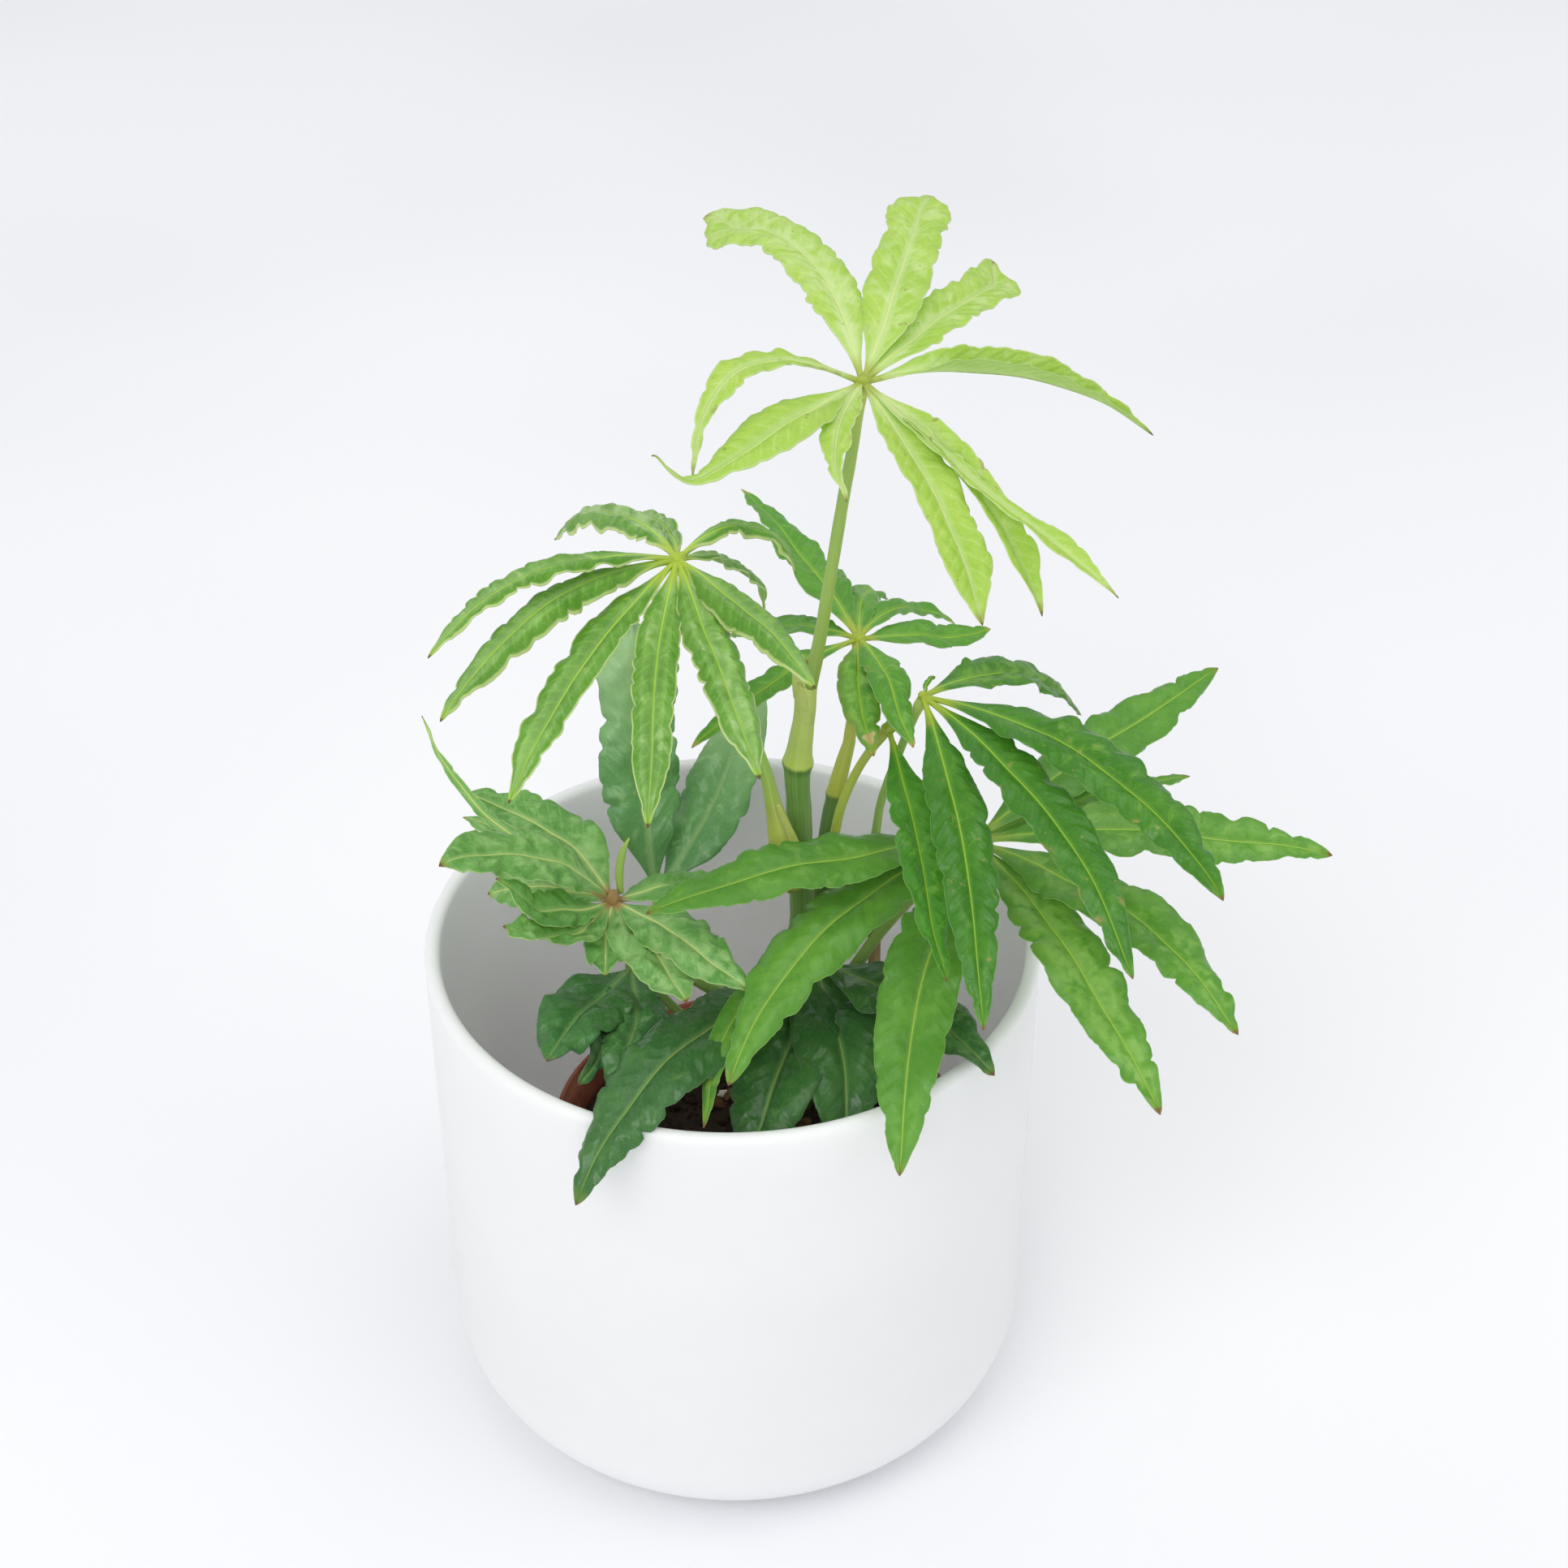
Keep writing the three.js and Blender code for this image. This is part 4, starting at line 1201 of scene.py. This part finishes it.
# Blades carry leafMap: share along, across from -1 to 1, a number for the leaflet; and leafSpan:
# millimetres along, millimetres from the midrib, millimetres from the margin; and leafFace:
# 1 on the underside and two more numbers for the leaflet, the second of them above 1 if it is scorched.
def leafMaterial(name, own):
    skin, detail = {**leafSkin, **own}, bladeDetail
    m = Finish(name)
    along, across, number = m.split(m.attribute("leafMap"))
    run, fromRib, fromEdge = m.split(m.attribute("leafSpan"))
    underside, chance, otherChance = m.split(m.attribute("leafFace"))
    place = m.objectPlace()
    cloud = m.grain(place, 60.0, 3.0, 0.55)
    patch = m.grain(place, 190.0, 3.0, 0.6, 0.6)
    fine = m.grain(place, 1300.0, 3.0, 0.65)
    warp = (m.grain(place, 120.0, 2.0, 0.5) - 0.5) * 2.2

    # side veins leave the midrib and lean towards the tip
    veinPlace = (run - fromRib * detail["veinSlant"] + warp + number * 7.0) / detail["veinSpacing"]
    veinWave = (veinPlace * turn).cosine() * 0.5 + 0.5
    veins = veinWave ** detail["veinSharpness"] * m.ease(fromRib, 0.2, 1.2) * m.ease(fromEdge, 0.0, 2.5)
    ribHalf = skin["ribWidth"] * (1.15 - along * 0.8)
    rib = 1 - m.ease(fromRib / ribHalf, 0.55, 1.15)
    ribGlow = 1 - m.ease(fromRib / ribHalf, 0.6, 4.5)
    marginBand = 1 - m.ease(fromEdge, skin["marginWidth"] * 0.4, skin["marginWidth"] * 1.5)
    nearEdge = 1 - m.ease(fromEdge, 0.2, 2.6)

    # the green itself, with painted shade towards the margins
    blotch = m.ease(cloud + (patch - 0.5) * 0.6, 0.35, 0.68)
    paleSpot = m.ease(patch + (chance - 0.5) * 0.35, 0.5, 0.78)
    colour = m.mix(blotch * skin["mottle"], skin["shade"], skin["base"])
    colour = m.mix(paleSpot * skin["mottle"], colour, skin["pale"])
    # painted shade: darker towards the margins, where the domed halves turn away from the light
    colour = m.mix(nearEdge * 0.5, colour, skin["shade"])
    colour = m.mix(ribGlow * 0.4, colour, skin["pale"])
    colour = m.mix(m.ease(along, 0.35, 1.0) * skin["paleTip"], colour, skin["pale"])

    # painted shade on the side strips and a painted sheen on the paler middle, with an uneven line between
    # them
    outward = fromRib / (fromRib + fromEdge + 0.01) + (patch - 0.5) * 0.3 + across * (chance - 0.5) * 0.35
    paintedSheen = (1 - m.ease(outward, *detail["paintedSheenEdge"])) * m.ease(along, 0.2, 0.5)
    colour = m.mix(m.ease(outward, *detail["shadedStripEdge"]) * skin["paintedShadeStrips"], colour, skin["shade"])
    colour = m.mix(paintedSheen * skin["paintedSheen"], colour, skin["pale"])

    # veins, midrib, margin and specks
    speckle = m.ease(m.grain(place, 420.0, 2.0, 0.5) + (patch - 0.5) * 0.4, 0.70, 0.78)
    colour = m.mix(veins * skin["veins"], colour, skin["vein"])
    colour = m.mix(rib * 0.9, colour, skin["rib"])
    colour = m.mix(marginBand * 0.8, colour, skin["margin"])
    colour = m.mix(speckle * skin["specks"], colour, skin["speck"])
    colour = m.mix(m.ease(fine, 0.45, 0.75) * 0.18, colour, skin["pale"])
    colour = m.mix(underside * 0.6, colour, skin["under"])

    # the hub end, the tip and what is burnt
    hubTint = 1 - m.ease(along, skin["hubReach"] * 0.35, skin["hubReach"])
    burnt = m.ease(along + (chance - 0.5) * 0.012, *detail["tipBurn"])
    edgeBurn = nearEdge * m.ease(patch * 0.6 + cloud * 0.4 + (otherChance - 0.5) * 0.1, 0.60, 0.68)
    colour = m.mix(hubTint * 0.85, colour, skin["hub"])
    colour = m.mix(m.ease(along, *detail["tipTint"]) * 0.8, colour, skin["tip"])
    colour = m.mix(burnt, colour, skin["burn"])
    colour = m.mix(edgeBurn * skin["specks"], colour, skin["speck"])
    middle, halfLength = detail["scorchAlong"]
    centre, halfWidth = detail["scorchAcross"]
    fromScorch = ((along - middle) / halfLength) ** 2.0 + ((across - centre) / halfWidth) ** 2.0
    scorch = m.ease(otherChance, 1.2, 1.8) * (1 - m.ease(fromScorch + (patch - 0.5) * 5.0, 0.6, 0.9))
    colour = m.mix(scorch * 0.9, colour, detail["scorch"])

    cells = m.grain(place, 2600.0, 2.0, 0.6)
    quilt = (1 - (1 - veinWave) ** 2.0) * m.ease(fromRib, 0.3, 2.0) * m.ease(fromEdge, 0.0, 2.0)
    relief = (rib * -0.2 * (1 - underside * 2.0) - quilt * 0.55 * skin["blister"] + cloud * 0.5
              + patch * 0.35 * skin["blister"] + cells * 0.05)
    normal = m.bump(relief, 0.7, 0.0008)
    leafSurface = m.principled({
        "Base Color": colour,
        "Roughness": skin["gloss"] + patch * 0.12 + underside * 0.2,
        "IOR": 1.45,
        "Normal": normal,
    })
    glow = m.add("ShaderNodeBsdfTranslucent", None, {"Color": skin["through"], "Normal": normal})
    return m.finish(m.add("ShaderNodeMixShader", None, {0: skin["light"], 1: leafSurface, 2: glow}))


# How the frame's solids hold a leaflet: their thickness, their rings, and the shares of the
# length at which those are.
solidThickness, ringCount = 1.2 * mm, 9
firstRing, ringStep = 0.015, 0.12
nearestTip = 12 * mm  # a corner nearer the hub than this is no tip
hubRadius = 2.1 * mm


def weldedGraph(node):  # the corners of a solid and which of them share an edge
    index, places, remap = {}, [], []
    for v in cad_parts[node].data.vertices:
        key = tuple(round(c * 1e5) for c in v.co)
        if key not in index:
            index[key] = len(places)
            places.append(np.array(v.co))
        remap.append(index[key])
    links = [set() for _ in places]
    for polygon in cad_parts[node].data.polygons:
        for a, b in polygon.edge_keys:
            links[remap[a]].add(remap[b])
            links[remap[b]].add(remap[a])
    return places, links


# The solid of a blade holds each leaflet as rings of four corners that end in one tip. Walking
# inwards from a tip gives the midrib, the half width and the upward direction at each ring.
def leafletStations(node, hub):
    places, links = weldedGraph(node)
    far = [np.linalg.norm(p - hub) for p in places]
    found = []
    for tip, around in enumerate(links):
        if len(around) != 4 or far[tip] < nearestTip or any(far[i] >= far[tip] for i in around):
            continue
        rings, seen, ring = [], {tip}, set(around)
        while len(ring) == 4 and len(rings) < ringCount:
            first = min(ring)
            beside = [i for i in ring if i in links[first]]
            across = [i for i in ring if i != first and i not in links[first]]
            if len(beside) != 2 or len(across) != 1:
                break
            rings.append(((places[first], places[across[0]]), (places[beside[0]], places[beside[1]])))
            seen |= ring
            ring = set().union(*(links[i] for i in ring)) - seen
        stations = []
        normal = None
        middle = len(rings) // 2
        for i in [*range(middle, len(rings)), *reversed(range(middle))]:  # from the middle ring both ways
            if i == middle - 1:
                normal = stations[0][2]
            pairs = sorted(rings[i], key=lambda pair: np.linalg.norm(pair[0] - pair[1]))
            if normal is not None:
                pairs.sort(key=lambda pair: -abs(np.dot(unit(pair[0] - pair[1]), normal)))
            thin, wide = pairs
            up = unit(thin[0] - thin[1])
            if normal is not None and np.dot(up, normal) < 0:
                up = -up
            thickness = np.linalg.norm(thin[0] - thin[1])
            if abs(thickness - solidThickness) > 0.03 * mm:
                continue
            normal = up
            stations.append((i, (thin[0] + thin[1]) / 2, up, np.linalg.norm(wide[0] - wide[1]) / 2))
        if len(stations) < 4:  # it runs into its neighbour, so it is drawn from its own numbers
            continue
        stations.sort(key=lambda row: -row[0])  # from the hub outwards
        if stations[0][2][2] < 0:
            stations = [(i, place, -up, half) for i, place, up, half in stations]
        found.append((places[tip], stations))
    return found


def leafletOutline(t):  # half the width of a leaflet as a share of its full width
    belly = np.sin(math.pi * np.clip(t, 0, 1) ** 0.9) ** 0.7
    return 0.5 * belly * (0.25 + 0.75 * ease(t, 0, 0.3))


# A leaflet given by bearing, reach, fall, width, arch, sway, roll and hook, in degrees and
# millimetres.
def drawnStations(hub, bearing, reach, fall, width, arch, sway, roll, hook):
    heading = math.radians(bearing)
    toTip = np.array([math.cos(heading) * reach, math.sin(heading) * reach, -fall]) * mm
    leftward = np.array([-math.sin(heading), math.cos(heading), 0])
    lift = unit(np.cross(toTip, leftward))
    up = np.array([0, 0, 1.0])

    def place(t):
        bow = 4 * t * (1 - t) * mm
        return hub + toTip * t + lift * arch * bow + leftward * sway * bow - up * hook * mm * t**7

    stations = []
    for i in range(1, ringCount):
        t = firstRing + ringStep * i
        along = unit(place(t + 0.01) - place(t - 0.01))
        left = unit(np.cross(up, along))
        normal = np.cross(along, left)
        angle = math.radians(roll) * t
        normal = normal * math.cos(angle) - left * math.sin(angle)
        stations.append((ringCount - 1 - i, place(t), normal, width * mm * leafletOutline(t)))
    return place(1), stations


halfColumns = [0.07, 0.17, 0.31, 0.47, 0.64, 0.8, 0.92, 1.0]  # from the midrib to a margin
columns = np.array([-c for c in reversed(halfColumns)] + [0.0] + halfColumns)


# Swings from 1 to -1 and back along the margin, unevenly: a cut lies wherever it passes 0.
def lobeSwing(rng, along, count):
    place = along * count + rng.random() + 0.45 * np.sin(turn * (along * 1.7 + rng.random()))
    place = place + 0.22 * np.sin(turn * (along * 4.1 + rng.random()))
    return np.sin(math.pi * place)


def quilting(rng, run, out):  # soft swellings over the skin, 1 at most
    total = 0
    for _ in range(6):
        alongStep, acrossStep = rng.uniform(5, 15), rng.uniform(4, 11) * rng.choice([-1, 1])
        total = total + np.sin(turn * (run / alongStep + out / acrossStep + rng.random()))
    return total / 6


# The middle line of a leaflet, its directions and its half width, with its bends put in.
def leafletLine(hub, tip, stations, form, rng):
    places = np.array([hub] + [s[1] for s in stations] + [tip]) / mm
    ups = np.array([stations[0][2]] + [s[2] for s in stations] + [stations[-1][2]])
    shares = [firstRing + ringStep * (ringCount - 1 - s[0]) for s in stations]
    width = np.median([s[3] / leafletOutline(share) for s, share in zip(stations, shares)]) / mm
    knots = np.concatenate([[0], np.cumsum(np.linalg.norm(np.diff(places, axis=0), axis=1))])
    length = knots[-1]
    run = np.linspace(0, length, int(np.clip(length / form["rowSpacing"], 30, 96)))
    t = run / length
    centre = smoothRow(knots, places, run)
    normal = unit(smoothRow(knots, ups, run))
    half = width * form["broaden"] * np.maximum(leafletOutline(t), 0)
    half = np.maximum(half, form["hubHalf"] * (1 - ease(t, 0.0, 0.2)))
    half = half * (1 + form["blunt"] * np.exp(-((t - form["bluntAt"]) / form["bluntSpread"]) ** 2))
    half = np.maximum(half * (1 - form["tail"] * ease(t, form["tailFrom"], 0.85)), form["tipHalf"])

    # the whole leaflet waves and its tip curls
    blade = ease(t, form["bladeFrom"], form["bladeFull"])
    wave = form["wave"]
    centre = centre[0] + (centre - centre[0]) * form["stretch"]
    tangent = unit(np.gradient(centre, axis=0))
    side = unit(np.cross(normal, tangent))
    normal = np.cross(tangent, side)
    centre = centre + normal * (blade * ripple(rng, t, [(1.6, 0.4 * wave), (3.1, 0.22 * wave)]))[:, None]
    centre = centre + side * (blade * ripple(rng, t, [(1.2, 0.35 * wave)]))[:, None]
    centre = centre + side * (form["sway"] * np.sin(math.pi * t))[:, None]
    curl = form.get("curl", rng.uniform(-1.5, 2.5))
    centre = centre - normal * (curl * ease(t, form["curlFrom"], 1.0) ** 2)[:, None]
    hook = form.get("hook", rng.uniform(-1.5, 1.5))
    centre = centre + side * (hook * ease(t, form["hookFrom"], 1.0) ** 2)[:, None]
    tangent = unit(np.gradient(centre, axis=0))
    twist = np.radians(form["twist"] * rng.uniform(-1, 1) + form["turnOver"]) * ease(t, 0.25, 1.0)
    twist = twist + np.radians(form["lean"]) * ease(t, 0.05, 0.35)
    cos, sin = np.cos(twist)[:, None], np.sin(twist)[:, None]
    side = unit(np.cross(normal, tangent))
    normal = np.cross(tangent, side)
    return run, blade, centre, side * cos + normal * sin, normal * cos - side * sin, half


def leafletMargins(t, half, lobeCount, form, rng):  # reach and ruffle of each margin, the left one first
    margins = []
    fade = ease(t, 0.1, 0.3) * (1 - ease(t, 0.9, 1.0))
    notch, frill = form["notch"] * fade, form["ruffle"] * fade
    for _ in range(2):
        swing = lobeSwing(rng, t, lobeCount)
        depth = 1 + ripple(rng, t, [(1.9, 0.35), (3.7, 0.3)])
        cut = notch * (1 - np.abs(swing)) ** 2.2 * depth
        cut = cut + 0.25 * notch * np.abs(ripple(rng, t, [(lobeCount * 2.3, 0.5), (lobeCount * 4.1, 0.3)]))
        ruffle = frill * swing * ripple(rng, t, [(1.1, 0.35), (2.3, 0.35)])
        ruffle = ruffle + frill * ripple(rng, t, [(lobeCount * 0.5, 0.5), (lobeCount * 0.9, 0.25)])
        cut = np.minimum(cut, half * form["deepestCut"])
        margins.append((np.maximum(half - cut, 0.1), ruffle))
    return margins


def leafletForm(hub, tip, stations, form, rng):
    run, blade, centre, side, normal, half = leafletLine(hub, tip, stations, form, rng)
    t = run / run[-1]
    fold = form["fold"] * rng.uniform(0.6, 1.5) * ease(t, 0.0, 0.3)
    lobeCount = max(3.0, form["lobes"] * run[-1] * rng.uniform(0.85, 1.15))
    left, right = leafletMargins(t, half, lobeCount, form, rng)

    v = columns[None, :]
    size = np.abs(v)
    t, blade, fold = t[:, None], blade[:, None], fold[:, None]
    reach = np.where(v < 0, left[0][:, None], right[0][:, None])
    ruffle = np.where(v < 0, left[1][:, None], right[1][:, None])
    out = reach * size
    height = fold * out + form["dome"] * reach * np.sin(math.pi * size ** 0.8) * blade
    droop = form["edgeDroop"] * rng.uniform(-0.5, 1.5)
    height = height - droop * reach * size ** 4 + ruffle * size ** 2.4
    height = height - form["crease"] * reach * np.maximum(size - form["creaseFrom"], 0)
    height = height + form["quilt"] * quilting(rng, run[:, None], v * reach) * blade * ease(out, 0.2, 2.0)
    bend = np.sqrt(np.maximum(1 - np.minimum(fold, 0.95) ** 2, 0.05))  # a deep fold narrows the leaflet
    spread = np.sign(v) * out * np.where(fold > 0.3, bend, 1.0)

    ribSize = form["rib"] * (1 - 0.75 * t) + 0.35 * (1 - ease(t, 0.02, 0.16))
    ribShape = np.exp(-(out / (form["ribHalf"] + 0.5 * (1 - t))) ** 2)
    skinHalf = form["thickness"] / 2 * (1 - 0.55 * size ** 3) * np.ones_like(out)
    upper = height + skinHalf - 0.2 * ribShape * blade + 0.5 * ribSize * ribShape * (1 - blade)
    lower = height - skinHalf - ribSize * ribShape * 1.1

    def sheet(level):
        across = side[:, None, :] * spread[..., None] + normal[:, None, :] * level[..., None]
        return (centre[:, None, :] + across).reshape(-1, 3)

    points = np.concatenate([sheet(upper), sheet(lower)]) * mm
    number, chance, otherChance = rng.random(), rng.random(), rng.random()
    rows, wide = out.shape
    total = rows * wide
    leafMap = np.stack([np.repeat(t, wide), np.tile(columns, rows), np.full(total, number)], axis=1)
    leafSpan = np.stack([np.repeat(run, wide), out.ravel(), (reach - out).ravel()], axis=1)
    face = np.repeat([0.0, 1.0], total)
    scorched = otherChance + form["scorch"]
    leafFace = np.stack([face, np.full(2 * total, chance), np.full(2 * total, scorched)], axis=1)
    leafMap, leafSpan = np.tile(leafMap, (2, 1)), np.tile(leafSpan, (2, 1))
    return points, stripFaces(rows, wide), {"leafMap": leafMap, "leafSpan": leafSpan, "leafFace": leafFace}


def ownSettings(specials, bearing):  # a leaflet's own settings, kept under its bearing in degrees
    for wanted, settings in specials.items():
        if abs((bearing - wanted + 180) % 360 - 180) < 0.5:
            return settings
    return {}


def leafBlade(name, look):
    node = nodeName(name) + "_blade"
    rng = random.Random(look["seed"])
    hub = np.array(look["hub"]) * mm
    shell = Shell("leafMap", "leafSpan", "leafFace")
    leaflets = leafletStations(node, hub)
    leaflets += [drawnStations(hub, *row) for row in look.get("drawn", [])]
    leaflets.sort(key=lambda row: math.atan2(row[0][1] - hub[1], row[0][0] - hub[0]))
    for tip, stations in leaflets:
        bearing = math.degrees(math.atan2(tip[1] - hub[1], tip[0] - hub[0]))
        form = {**leafShape, **look, **ownSettings(look.get("leaflets", {}), bearing)}
        points, faces, maps = leafletForm(hub, tip, stations, form, rng)
        shell.add(points, faces, **maps)
    knob = look.get("knob", leafShape["knob"])
    points, faces = lumpyBall(rng, hub, hubRadius, knob, lumps=0.35, subdivisions=3)
    shell.add(points, faces, leafMap=(0, 0, 0.5), leafSpan=(0, 3, 6), leafFace=(0, 0.5, 0.5))
    skin = leafMaterial(name + "Skin", look["skin"])
    addPiece(name, shell.mesh(name), [node], [skin])
    return len(leaflets)


for name, look in leafLooks.items():
    print(name, "has", leafBlade(name, look), "leaflets")

# Floor

floorLook = {"size": 9.0, "colour": "#f5f5f7", "shade": "#eeeef1"}


def floorMaterial(look):
    m = Finish("paleFloor")
    cloud = m.grain(m.objectPlace(), 1.5, 2.0, 0.5)
    colour = m.mix(m.ease(cloud, 0.35, 0.7), look["colour"], look["shade"])
    return m.finish(m.principled({"Base Color": colour, "Roughness": 0.75, "Specular IOR Level": 0.2}))


def floor(look):
    half = look["size"] / 2
    points = [(-half, -half, 0), (half, -half, 0), (half, half, 0), (-half, half, 0)]
    mesh = buildMesh("floor", points, [(0, 1, 2, 3)])
    mesh.materials.append(floorMaterial(look))
    plane = bpy.data.objects.new("floor", mesh)
    bpy.context.scene.collection.objects.link(plane)


floor(floorLook)
print("floor is laid")
